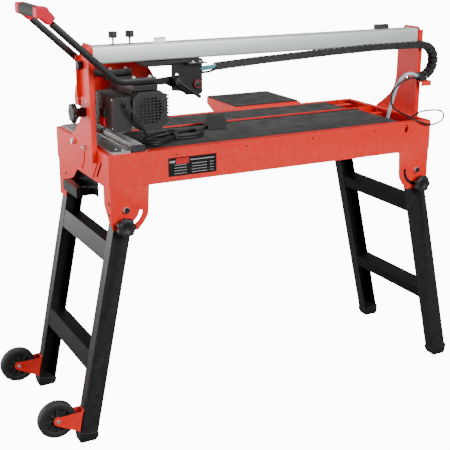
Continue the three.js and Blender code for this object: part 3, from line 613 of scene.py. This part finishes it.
# sheet metal, castings and mouldings, with the width their edges are rounded to
formed = {
    "redPaint": {"tray": 0.8, "side_table_bracket": 0.8, "front_left_bracket": 0.8, "rear_left_bracket": 0.8,
                 "front_right_bracket": 0.8, "rear_right_bracket": 0.8, "left_tower": 0.9, "right_tower": 0.9,
                 "blade_guard": 0.7},
    "blackPaint": {"lift_handle": 1.2, "left_leg_frame": 1.0, "right_leg_frame": 1.0, "carriage": 0.7,
                   "head_arm": 0.8},
    "tableCoating": {"front_table": 1.0, "rear_table": 1.0, "side_table": 1.2},
    "beamAluminium": {"beam": 0.7},
    "fenceAluminium": {"fence_rail": 0.5, "fence_bar": 0.5},
    "blackPlastic": {"fence_end_cap": 0.8, "water_pump": 1.5, "cable_clip": 1.5, "switch_box": 3.0,
                     "fan_cover": 0.6},
    "motorCasting": {"motor_body": 0.7},
    "brightSteel": {"left_tilt_pin": 0.6, "right_tilt_pin": 0.6, "spindle": 0.5},
    "bladeSteel": {"blade": 0.2},
    "crimsonPlastic": {"stop_button": 1.2},
    "greenPlastic": {"start_button": 1.2},
}
for look, widths in formed.items():
    for node, width in widths.items():
        softened(node, look, width)
print("sheet metal and mouldings formed")

# geometry node trees
def geometryTree(name, inputs):
    return groupTree(name, "GeometryNodeTree", [("Geometry", "Geometry", None), *inputs,
                                                ("Material", "Material", None)], [("Geometry", "Geometry")])


def endTree(tree, given, made, geometry):
    realized = addNode(tree, "GeometryNodeRealizeInstances", {0: geometry})
    paint = addNode(tree, "GeometryNodeSetMaterial", {"Geometry": realized.outputs[0], "Material": given["Material"]})
    tree.links.new(paint.outputs[0], made["Geometry"])


def onPoints(tree, points, instance, **placing):
    given = {"Points": points, "Instance": instance, **{key.capitalize(): value for key, value in placing.items()}}
    return addNode(tree, "GeometryNodeInstanceOnPoints", given).outputs["Instances"]


def partOf(tree, given):
    return addNode(tree, "GeometryNodeObjectInfo", {"As Instance": True, "Object": given["Part"]},
                   transform_space="ORIGINAL").outputs["Geometry"]


def attributeOf(tree, name, kind):
    return addNode(tree, "GeometryNodeInputNamedAttribute", {"Name": name}, data_type=kind).outputs["Attribute"]


def makeFastenerTree():  # one head at each vertex, looking along "facing", turned at random
    tree, given, made = geometryTree("fasteners", [("Part", "Object", None), ("Seed", "Int", 3)])
    points = addNode(tree, "GeometryNodeMeshToPoints", {"Mesh": given["Geometry"]})
    align = addNode(tree, "FunctionNodeAlignRotationToVector",
                    {"Vector": attributeOf(tree, "facing", "FLOAT_VECTOR")}, axis="Z")
    chance = addNode(tree, "FunctionNodeRandomValue", {3: 3.0, "Seed": given["Seed"]}, data_type="FLOAT")
    spin = addNode(tree, "FunctionNodeAxisAngleToRotation", {"Axis": (0, 0, 1), "Angle": chance.outputs[1]})
    turn = addNode(tree, "FunctionNodeRotateRotation", {"Rotation": align.outputs[0], "Rotate By": spin.outputs[0]},
                   rotation_space="LOCAL")
    endTree(tree, given, made, onPoints(tree, points.outputs[0], partOf(tree, given), rotation=turn.outputs[0],
                                        scale=attributeOf(tree, "width", "FLOAT")))
    return tree


def makeLinkTree():  # links set every "Pitch" along the drawn line, upright in the line's plane
    tree, given, made = geometryTree("chainLinks", [("Part", "Object", None), ("Pitch", "Float", 0.024),
                                                    ("Size", "Vector", (1, 1, 1))])
    curve = addNode(tree, "GeometryNodeMeshToCurve", {"Mesh": given["Geometry"]})
    spaced = addNode(tree, "GeometryNodeResampleCurve", {"Curve": curve.outputs[0], "Length": given["Pitch"]},
                     mode="LENGTH")
    tangent = addNode(tree, "GeometryNodeInputTangent").outputs[0]
    align = addNode(tree, "FunctionNodeAlignRotationToVector", {"Vector": tangent}, axis="X", pivot_axis="Y")
    endTree(tree, given, made, onPoints(tree, spaced.outputs[0], partOf(tree, given), rotation=align.outputs[0],
                                        scale=given["Size"]))
    return tree


def makeBarTree():  # bars across a round opening, each as long as the circle is there
    tree, given, made = geometryTree("grilleBars", [("Count", "Int", 5), ("Radius", "Float", 0.04),
                                                    ("Width", "Float", 0.002), ("Depth", "Float", 0.002),
                                                    ("Centre", "Vector", (0, 0, 0))])
    edge = math2(tree, "MULTIPLY", given["Radius"], 0.88)
    left, right = (addNode(tree, "ShaderNodeCombineXYZ", {"X": math2(tree, "MULTIPLY", edge, sign)}).outputs[0]
                   for sign in (-1, 1))
    line = addNode(tree, "GeometryNodeMeshLine", {"Count": given["Count"], "Start Location": left, "Offset": right},
                   mode="END_POINTS")
    cube = addNode(tree, "GeometryNodeMeshCube").outputs["Mesh"]
    place = addNode(tree, "GeometryNodeInputPosition").outputs[0]
    split = addNode(tree, "ShaderNodeSeparateXYZ", {0: place})
    across = math2(tree, "MULTIPLY", split.outputs["X"], split.outputs["X"])
    reach = math2(tree, "SUBTRACT", math2(tree, "MULTIPLY", given["Radius"], given["Radius"]), across)
    long = math2(tree, "MULTIPLY", math2(tree, "SQRT", reach, 0), 2)
    size = addNode(tree, "ShaderNodeCombineXYZ", {"X": given["Width"], "Y": given["Depth"], "Z": long})
    placed = onPoints(tree, line.outputs[0], cube, scale=size.outputs[0])
    moved = addNode(tree, "GeometryNodeTransform", {"Geometry": placed, "Translation": given["Centre"]})
    endTree(tree, given, made, moved.outputs[0])
    return tree


def makeRingTree():  # blocks set round an axis along Y
    tree, given, made = geometryTree("ringOfParts", [("Count", "Int", 8), ("Size", "Vector", (1, 1, 1)),
                                                     ("Middle", "Float", 0.03), ("Centre", "Vector", (0, 0, 0))])
    circle = addNode(tree, "GeometryNodeMeshCircle", {"Vertices": given["Count"], "Radius": given["Middle"]})
    points = addNode(tree, "GeometryNodeMeshToPoints", {"Mesh": circle.outputs[0]})
    place = addNode(tree, "GeometryNodeInputPosition").outputs[0]
    align = addNode(tree, "FunctionNodeAlignRotationToVector", {"Vector": place}, axis="X", pivot_axis="Z")
    cube = addNode(tree, "GeometryNodeMeshCube").outputs["Mesh"]
    placed = onPoints(tree, points.outputs[0], cube, rotation=align.outputs[0], scale=given["Size"])
    moved = addNode(tree, "GeometryNodeTransform", {"Geometry": placed, "Rotation": (math.pi / 2, 0, 0),
                                                    "Translation": given["Centre"]})
    endTree(tree, given, made, moved.outputs[0])
    return tree


fastenerTree = makeFastenerTree()
linkTree = makeLinkTree()
barTree = makeBarTree()
ringTree = makeRingTree()


def grown(name, mesh, tree, values, look, body=None, replaced=()):
    piece = addPiece(name, mesh, look)
    modifier = piece.modifiers.new("grow", "NODES")
    modifier.node_group = tree
    given = {**values, "Material": finish[look]}
    for item in tree.interface.items_tree:
        if item.item_type == "SOCKET" and item.in_out == "INPUT" and item.name in given:
            modifier[item.identifier] = given[item.name]
    mesh = baked(piece)
    mesh.set_sharp_from_angle(angle=math.radians(38))
    attach(piece, body, replaced)
    return piece


def template(name, mesh):  # a shape for the trees to repeat, never shown itself
    return bpy.data.objects.new(name, mesh)


origin = Vector((0, 0, 0))


def hexShape(angle, radius):  # six flats, on the outer rings only
    return 1 if radius < 500 else 1 - 0.07 * (1 - math.cos(6 * angle))


boltHead = template("boltHead", latheMesh(origin, "z", [
    (1000, 0), (1000, 620), (880, 720), (450, 720), (430, 560), (0, 560)], 24, hexShape, 30))
nutHead = template("nutHead", latheMesh(origin, "z", [
    (1250, 0), (1250, 120), (1000, 130), (1000, 700), (880, 820), (480, 820), (470, 980), (0, 1000)], 24, hexShape, 30))
screwHead = template("screwHead", latheMesh(origin, "z", [
    (1000, 0), (1000, 180), (860, 420), (460, 520), (400, 260), (0, 260)], 20, None, 30))

fastenerSets = {
    "frame_nuts": {"part": nutHead, "body": "frame", "spots": [
        (-3.4, 200, 92, "-x", 9.6), (1217.4, 200, 92, "+x", 9.6)]},
    "fence_screws": {"part": screwHead, "body": "frame", "spots": [
        (43, 46, 111, "+z", 4.2), (58, 28, 111, "+z", 4.2), (43, 454, 111, "+z", 4.2), (58, 472, 111, "+z", 4.2)]},
    "tower_screws": {"part": screwHead, "body": "bridge", "spots": [
        (-3.3, 160, 241, "-x", 4.6), (1217.3, 160, 262, "+x", 4.6), (1236, 66, 247, "-y", 3.6),
        (1217.3, 120, 330, "+x", 4.6)]},
    "left_leg_bolts": {"part": boltHead, "body": "left_legs", "spots": [
        (52, -0.2, -70, "-y", 10.8), (52, 500.2, -70, "+y", 10.8), (-196.5, 5.2, -734.8, "-y", 6.2),
        (-196.5, 46.8, -734.8, "+y", 6.2), (-196.5, 453.2, -734.8, "-y", 6.2), (-196.5, 494.8, -734.8, "+y", 6.2)]},
    "right_leg_bolts": {"part": boltHead, "body": "right_legs", "spots": [
        (1162, -0.2, -70, "-y", 10.8), (1162, 500.2, -70, "+y", 10.8)]},
    "handle_bolts": {"part": nutHead, "body": "head", "spots": [
        (107, 44, 323.2, "+z", 6.4), (160, 44, 323.2, "+z", 6.4), (107, 244, 323.2, "+z", 6.4),
        (160, 244, 323.2, "+z", 6.4)]},
    "switch_box_screws": {"part": screwHead, "body": "head", "spots": [
        (32, 36, 264, "-x", 3.4), (32, 164, 264, "-x", 3.4), (32, 36, 177, "-x", 3.4), (32, 164, 177, "-x", 3.4)]},
    "carriage_bolts": {"part": nutHead, "body": "carriage", "spots": [
        (320, 76, 354, "+z", 4.4), (345, 76, 354, "+z", 4.4)]},
}
axisWays = {"+x": (1, 0, 0), "-x": (-1, 0, 0), "+y": (0, 1, 0), "-y": (0, -1, 0), "+z": (0, 0, 1), "-z": (0, 0, -1)}
for number, (name, given) in enumerate(fastenerSets.items()):
    mesh = bpy.data.meshes.new(name)
    mesh.from_pydata([at(*spot[:3]) for spot in given["spots"]], [], [])
    facing = mesh.attributes.new("facing", "FLOAT_VECTOR", "POINT")
    facing.data.foreach_set("vector", [v for spot in given["spots"] for v in axisWays[spot[3]]])
    width = mesh.attributes.new("width", "FLOAT", "POINT")
    width.data.foreach_set("value", [mm(spot[4]) for spot in given["spots"]])
    grown(name, mesh, fastenerTree, {"Part": given["part"], "Seed": 11 + number}, "brightSteel",
          given["body"])
print("fasteners set")


# energy chain
chain = {"run": [(398, 336.4), (558, 345.5), (822, 356.5), (1000, 361.5), (1212.7, 361.5)], "across": 77.5,
         "bend": (1213, 303.5, 56.5), "pitch": 22.6, "bendPitch": 19.6, "bendSize": (1.05, 1.12, 1.17),
         "carriageEnd": (409, 77.5, 336.4), "shortest": 0.0612}


def makeLink():
    parts = [boxesMesh([((-4.5, -10.6, 8.6), (4.5, 10.6, 10.8)), ((-4.5, -10.6, -10.8), (4.5, 10.6, -8.6)),
                                ((-9, -10.2, -9.4), (10, -8.4, 9.4)), ((-9, 8.4, -9.4), (10, 10.2, 9.4))])]
    plate = roundedOutline(-11.1, 11.1, -11, 11, 3)
    for y in (-11.5, 9.7):
        parts.append(slabMesh(lambda a, b, depth: Vector((a, depth, b)) / 1000, plate, y, y + 1.8))
    for y in (-12.1, 11.3):
        parts.append(latheMesh(Vector((mm(-11.3), mm(y + 0.8), 0)), "y", [(3.4, 0), (3.4, 0.8)], 16))
        parts.append(latheMesh(Vector((mm(1), mm(y + 0.8), mm(4.5))), "y", [(2, 0), (2, 0.5)], 10))
    return template("chainLink", joinMeshes(parts))


chainLink = makeLink()


def lineMesh(route):
    mesh = bpy.data.meshes.new("line")
    mesh.from_pydata(route, [(i, i + 1) for i in range(len(route) - 1)], [])
    return mesh


def addChain():
    run = [at(x, chain["across"], z) for x, z in chain["run"]]
    run[0] += Vector((0.011, 0, 0.0006))
    run[-1] += Vector((-0.004, 0, 0))
    links = grown("chain_run_links", lineMesh(run), linkTree,
                  {"Part": chainLink, "Pitch": mm(chain["pitch"]), "Size": (1, 1, 1)}, "chainPlastic",
                  "carriage", ["chain_run"])
    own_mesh(links)
    x, z, radius = chain["bend"]
    bend = [at(x + radius * math.sin(a), chain["across"], z + radius * math.cos(a))
            for a in [math.pi * (0.02 + 0.95 * k / 40) for k in range(41)]]
    grown("chain_bend_links", lineMesh(bend), linkTree,
          {"Part": chainLink, "Pitch": mm(chain["bendPitch"]), "Size": chain["bendSize"]}, "chainPlastic", "bridge",
          ["chain_bend"])


addChain()
addBoxes("chain_end", "blackPlastic", "bridge", [((1211.5, 65.5, 233.5), (1236, 90, 238)),
                                                 ((1211.5, 65.5, 233.5), (1215, 90, 262))])
stubs = {
    "hose_into_chain": {"look": "tealHose", "radius": 7.5, "sides": 16, "route": [
        (352, 101, 328), (364, 96, 330), (378, 86, 333), (392, 79, 336), (408, 77.5, 338)]},
    "wire_into_chain": {"look": "cableRubber", "radius": 3.8, "sides": 12, "route": [
        (352, 99, 318), (364, 92, 318), (378, 80, 321), (392, 73, 327), (410, 71, 332)]},
}
for name, stub in stubs.items():
    route = smoothRoute([at(*p) for p in stub["route"]])
    section = circleSection(mm(stub["radius"]), stub["sides"])
    addPiece(name, sweptMesh(route, section), stub["look"], "carriage")
print("chain made")


# knobs
def lobes(count, depth, full):  # a wavy outline that fades out inside the full radius
    return lambda angle, radius: 1 + depth * math.cos(count * angle) * min(1, (radius / full) ** 4)


legKnobProfile = [(0, 0.4), (13.6, 0.4), (13.6, 12.5), (22, 13.6), (27, 16), (29.6, 19), (29.8, 28), (28, 32),
                  (23, 33.9), (12, 33), (9, 31.4), (0, 31.2)]
sideKnobProfile = [(0, 3.8), (14.6, 3.8), (14.6, 27), (22, 29), (27.5, 31.5), (29.8, 35), (29.8, 42), (27.6, 46),
                   (22, 47.4), (10, 46.6), (0, 46.4)]
stopKnobProfile = [(0, 3.8), (6.8, 3.8), (7.4, 6), (12, 7), (13.6, 9), (13.8, 17), (12.6, 19.6), (9, 20.4), (0, 20)]
topKnobProfile = [(0, 415.4), (2.9, 415.4), (2.9, 433), (11.6, 433.4), (13.2, 435.4), (13.4, 449.6), (12, 452.4),
                  (7, 452.8), (0, 452.2)]
largeLobes = lobes(7, 0.075, 27)
knobs = {
    "bridge_knob": ((0, 190, 206), "x", sideKnobProfile, -1, largeLobes),
    "stop_knob": ((0, 188, 352), "x", stopKnobProfile, -1, lobes(6, 0.07, 12)),
    "left_beam_knob": ((86, 152, 0), "z", topKnobProfile, 1, lobes(10, 0.05, 11)),
    "right_beam_knob": ((141, 152, 0), "z", topKnobProfile, 1, lobes(10, 0.05, 11)),
}
legKnobs = {f"{end}_{side}_leg_knob": ((x, y, z), "y", legKnobProfile, way, largeLobes)
            for side, x, z in (("left", 42, -119), ("right", 1173.2, -118.7))
            for end, y, way in (("front", 0, 1), ("rear", 500, -1))}
knobs = {**legKnobs, **knobs}
for node, (centre, axis, profile, way, wave) in knobs.items():
    name = node + "_lobed"
    turned = [(radius, way * height) for radius, height in profile]
    addPiece(name, latheMesh(at(*centre), axis, turned, 84, wave, 28), "blackPlastic",
             cadNodes[node]["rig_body"], [node])
print("knobs made")

# wheels, forks and feet
wheelProfile = [(0, -14.6), (12, -14.6), (14, -12), (14.6, -5), (39, -5), (40.5, -13.6), (45, -15), (55, -14.8),
                (60, -12.4), (62, -8), (62, 8), (60, 12.4), (55, 14.8), (45, 15), (40.5, 13.6), (39, 5),
                (14.6, 5), (14, 12), (12, 14.6), (0, 14.6)]
legs = {"left": {"pivot": 52, "splay": 11.5, "sole": (-24, 27)},
        "right": {"pivot": 1162, "splay": -13, "sole": (-27, 24)}}
foldHeight = -70  # where the leg frames' fold pivots are
legReach = 774  # from the pivot down to the middle of the foot
wheelRows = {"front": 26, "rear": 474}
for end, y in wheelRows.items():
    wheel = end + "_wheel"
    centre = at(-196.5, y, -734.8)
    addPiece(wheel + "_turned", latheMesh(centre, "y", wheelProfile, 72), "wheelTyre", wheel, [wheel])
    grown(wheel + "_spokes", bpy.data.meshes.new(wheel + "_spokes"), ringTree,
          {"Count": 8, "Size": (0.027, 0.0045, 0.0225), "Middle": 0.0268, "Centre": centre}, "wheelTyre", wheel)


def legPlace(x, y, z, side="left"):  # the leg frame drawn upright, about its fold pivot
    tilt = math.radians(legs[side]["splay"])
    return at(legs[side]["pivot"] + x * math.cos(tilt) + z * math.sin(tilt), y,
              foldHeight - x * math.sin(tilt) + z * math.cos(tilt))


def legAcrossY(x, z, y):
    return legPlace(x, y, z)


def addForks():
    hub, tip = (-111, -701), 15.4
    top, bottom = hub[1] + 34.4, hub[1] - 40.4
    plate, outer = -27.6, -33.4
    cheek = [(plate, top)]
    for k in range(13):
        angle = math.radians(74 + 178 * k / 12)
        cheek.append((hub[0] + tip * math.cos(angle), hub[1] + tip * math.sin(angle)))
    cheek.append((plate, bottom))
    base = [(outer, bottom - 0.1), (plate, bottom - 0.1), (plate, top + 0.1), (outer, top + 0.1)]
    parts = []
    for y in wheelRows.values():
        parts += [slabMesh(legAcrossY, cheek, y + way * 19 - 1.9, y + way * 19 + 1.9) for way in (-1, 1)]
        parts.append(slabMesh(legAcrossY, base, y - 20.9, y + 20.9))
    addRounded("wheel_forks", joinMeshes(parts), "redPaint", "left_legs", [], 0.6)


def addFoot(node, side, y0, y1):  # the hull round the leg's end and its level sole
    ground = -831.9
    grid = bmesh.new()
    for x in (-32.4, 32.4):
        for y in (y0, y1):
            for z in (-757, -744.4):
                grid.verts.new(legPlace(x, y, z, side))
    middle = legs[side]["pivot"] - legReach * math.sin(math.radians(legs[side]["splay"]))
    for x in legs[side]["sole"]:
        for y in (y0 + 4, y1 - 4):
            grid.verts.new(at(middle + x, y, ground))
            grid.verts.new(at(middle + x * 1.12, y, ground + 5))
    hull = bmesh.ops.convex_hull(grid, input=grid.verts)
    inner = {*hull["geom_interior"], *hull["geom_unused"]} & set(grid.verts)
    bmesh.ops.delete(grid, geom=list(inner), context="VERTS")
    bmesh.ops.dissolve_limit(grid, angle_limit=0.02, verts=grid.verts, edges=grid.edges)
    addRounded(node + "_cap", meshFrom(grid, 30), "blackPlastic", cadNodes[node]["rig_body"], [node], 2.6, 3, 25)


addForks()
for side in legs:
    for end, y in (("front", 2.2), ("rear", 448.8)):
        addFoot(f"{end}_{side}_foot", side, y, y + 48.6)
footKnob = latheMesh(at(-86, 486, -811), "x", [(0, 0), (6, 0), (11, 2), (12, 5), (11, 8), (0, 9)], 30)
addPiece("foot_knob", footKnob, "blackPlastic", "left_legs")
print("wheels, forks and feet made")

# operating handle and levers
barRoute = [(178, 313.3), (140, 313.3), (100, 313.3), (80, 313.6), (66, 315.4), (54, 319.8), (44, 326.2), (30, 338.6),
            (0, 366.4), (-60, 422), (-120, 477.9), (-136, 492.8)]
barSection = [(mm(a), mm(b)) for a, b in roundedOutline(-10, 10, -9.9, 9.9, 4)]
gripMiddle = (-166, 144, 526)
gripOutline = [(-17, 17), (15, 17), (24, 2), (40, -15), (20, -37.5), (0, -20), (-17, -15)]
for side, y, low in (("near", 44, 29), ("far", 244, 217)):
    route = smoothRoute([at(x, y, z) for x, z in barRoute], 0.006)
    addPiece(side + "_bar", sweptMesh(route, barSection, side=Vector((0, 1, 0))), "blackPaint", "head",
             [side + "_handle_bar"])
    outline = [(gripMiddle[0] + x, gripMiddle[2] + z) for x, z in gripOutline]
    addRounded(side + "_grip_cap", slabMesh(acrossY, outline, low, low + 42), "crimsonPlastic", "head",
               [side + "_grip_end"], 5.5, 4, 20)
gripProfile = [(0, -73.4), (15, -73.4), (16.6, -71.5)]
gripProfile += [(17.6 - 0.5 * math.cos(math.pi * k / 2.5) + 0.6 * math.cos(k / 60 * math.pi), -70 + 140 * k / 60)
                for k in range(61)]
gripProfile += [(16.6, 71.5), (15, 73.4), (0, 73.4)]
addPiece("ribbed_grip", latheMesh(at(*gripMiddle), "y", gripProfile, 40), "gripRubber", "head",
         ["grip"])

lever = {"hub": (266.2, 92, 297.2), "profile": [(0, 0.3), (11.5, 0.3), (12, 7), (9.5, 9), (9.5, 13), (12.6, 15),
                                               (12.6, 22), (10.5, 25), (0, 25.6)],
         "arm": [(266, 70, 297), (274, 66, 291), (288, 64, 281), (338, 63, 246)], "thick": 12}
leverHub = latheMesh(at(*lever["hub"]), "y", lever["profile"], 48, lobes(12, 0.03, 11))
armRoute = smoothRoute([at(*p) for p in lever["arm"]], 0.004)
armScale = [0.72 + 0.3 * min(1, k / len(armRoute) * 1.6) for k in range(len(armRoute))]
leverArm = sweptMesh(armRoute, circleSection(mm(lever["thick"]) / 2, 16), armScale)
addPiece("clamp_lever_formed", joinMeshes([leverHub, leverArm]), "blackPlastic", "clamp_lever",
         ["clamp_lever"])
plungeCentre = at(341, 92, 284)
ringProfile = [(9.6, 0), (14.4, 0), (14.4, 7), (12.6, 8.6), (10.6, 8.6), (9.6, 7), (9.6, 0)]
capProfile = [(0, -33), (8, -33), (8, -1), (9.5, -0.5), (9.5, 6.4), (8, 7), (0, 7)]
addPiece("plunge_ring", latheMesh(plungeCentre, "y", ringProfile, 48), "pivotRed", "carriage",
         ["plunge_pin"])
addPiece("plunge_cap", latheMesh(plungeCentre, "y", capProfile, 40), "blackPlastic", "carriage")
print("handles and levers made")

# grille, label and small marks
grown("fan_grille", bpy.data.meshes.new("fan_grille"), barTree,
      {"Count": 7, "Radius": 0.0425, "Width": 0.0022, "Depth": 0.0016, "Centre": at(146, 12.4, 227)},
      "blackPlastic", "head")
labelMarks = {  # plain blocks and lines, each box as its x and z limits
    "label_panel": {"look": "labelFilm", "depth": (-0.5, -0.05), "boxes": [(196, 362, 17, 76)]},
    "label_block": {"look": "labelRed", "depth": (-0.75, -0.45), "boxes": [(222, 266, 55, 73)]},
    "label_rules": {"look": "labelGrey", "depth": (-0.75, -0.45), "boxes": [(200, 219, 60, 67), (271, 354, 63, 66)] + [
        (x0, x1, 24 + 9 * k, 25.8 + 9 * k) for k in range(4) for x0, x1 in ((216, 258), (276, 328), (338, 352))]},
}
for name, mark in labelMarks.items():
    low, high = mark["depth"]
    addBoxes(name, mark["look"], "frame", [((x0, low, z0), (x1, high, z1)) for x0, x1, z0, z1 in mark["boxes"]])
addBoxes("slot_edging", "blackPlastic", "frame", [((120, 321.2, 80), (1130, 321.9, 101))])
# painted shade: flat dark slabs where the pressed dimples in the tray front fall into shade
dimpleShade = [slabMesh(acrossY, [(x - 3, 84), (x + 3.5, 84), (x + 0.5, 92)], -0.4, -0.05)
           for x in (225, 470, 720, 970)]
addPiece("tray_dimples", joinMeshes(dimpleShade), "shadowRed", "frame")
# painted shade: flat dark slabs standing in for the shaded insides of the brackets' wing slots
wingSlotShade = [slabMesh(acrossX, roundedOutline(y - 10, y + 10, z - 4, z + 4, 3.9), 2.4, 3.2)
             for y, z in ((12, -48), (17, -85), (424, -43), (443, -84))]
addPiece("wing_slots", joinMeshes(wingSlotShade), "shadowRed", "frame")
surround = slabMesh(acrossX, roundedOutline(80, 134, 171, 234, 5), 31.2, 32.4)
addPiece("button_surround", surround, "blackPlastic", "head")
addBoxes("beam_plate", "brightSteel", "bridge", [((222, 153, 415.2), (262, 157, 428))])
grommetProfile = [(7.5, -2.5), (12.5, -2.5), (12.5, 2.5), (7.5, 2.5), (7.5, -2.5)]
addPiece("tower_grommet", latheMesh(at(1215.8, 150, 240), "x", grommetProfile, 32), "blackPlastic",
         "bridge")
for shape in (boltHead, nutHead, screwHead, chainLink):
    bpy.data.objects.remove(shape)
print("marks and grille made")

# stage and light
cameraGlow = 12


def brightForCamera(tree, surface, kind, output):  # pale to the camera, dim as a source of light
    glow = addNode(tree, kind, {"Color": (1, 1, 1, 1), "Strength": cameraGlow})
    sight = addNode(tree, "ShaderNodeLightPath").outputs["Is Camera Ray"]
    both = addNode(tree, "ShaderNodeMixShader", {0: sight, 1: surface.outputs[0], 2: glow.outputs[0]})
    tree.links.new(both.outputs[0], output.inputs["Surface"])


def addStage():
    grid = bmesh.new()
    bmesh.ops.create_grid(grid, x_segments=1, y_segments=1, size=40)
    mesh = bpy.data.meshes.new("floor")
    grid.to_mesh(mesh)
    grid.free()
    floor = addObject("floor", mesh)
    floor.location.z = cadBox[0].z - 0.0005
    material = bpy.data.materials.new("paleFloor")
    material.use_nodes = True
    tree = material.node_tree
    shader = tree.nodes["Principled BSDF"]
    shader.inputs["Base Color"].default_value = (0.14, 0.14, 0.14, 1)
    shader.inputs["Roughness"].default_value = 0.9
    shader.inputs["Specular IOR Level"].default_value = 0.1
    brightForCamera(tree, shader, "ShaderNodeEmission", tree.nodes["Material Output"])
    mesh.materials.append(material)


lamps = {
    "leftBack": {"place": (-2.9, 3.0, 0.9), "aim": (0, 0, 0.6), "size": 3.2, "power": 125},
    "left": {"place": (-3.6, -0.5, 0.75), "aim": (0, 0, 0.5), "size": 1.4, "power": 80},
    "front": {"place": (0.9, -4.2, 2.6), "aim": (0, 0, 0.7), "size": 2.2, "power": 215},
    "top": {"place": (0.3, 0.9, 4.0), "aim": (0, 0, 0.8), "size": 2.6, "power": 85},
}


def addLights():
    for name, lamp in lamps.items():
        data = bpy.data.lights.new(name, "AREA")
        data.shape = "SQUARE"
        data.size = lamp["size"]
        data.energy = lamp["power"]
        light = addObject(name, data)
        light.location = lamp["place"]
        aim = Vector(lamp["aim"]) - Vector(lamp["place"])
        light.rotation_euler = aim.to_track_quat("-Z", "Y").to_euler()
    world = bpy.data.worlds.new("studio")
    world.use_nodes = True
    tree = world.node_tree
    dim = tree.nodes["Background"]
    dim.inputs["Color"].default_value = (1, 1, 1, 1)
    dim.inputs["Strength"].default_value = 0.10
    brightForCamera(tree, dim, "ShaderNodeBackground", tree.nodes["World Output"])
    scene.world = world


addStage()
addLights()
print("stage and lights set")
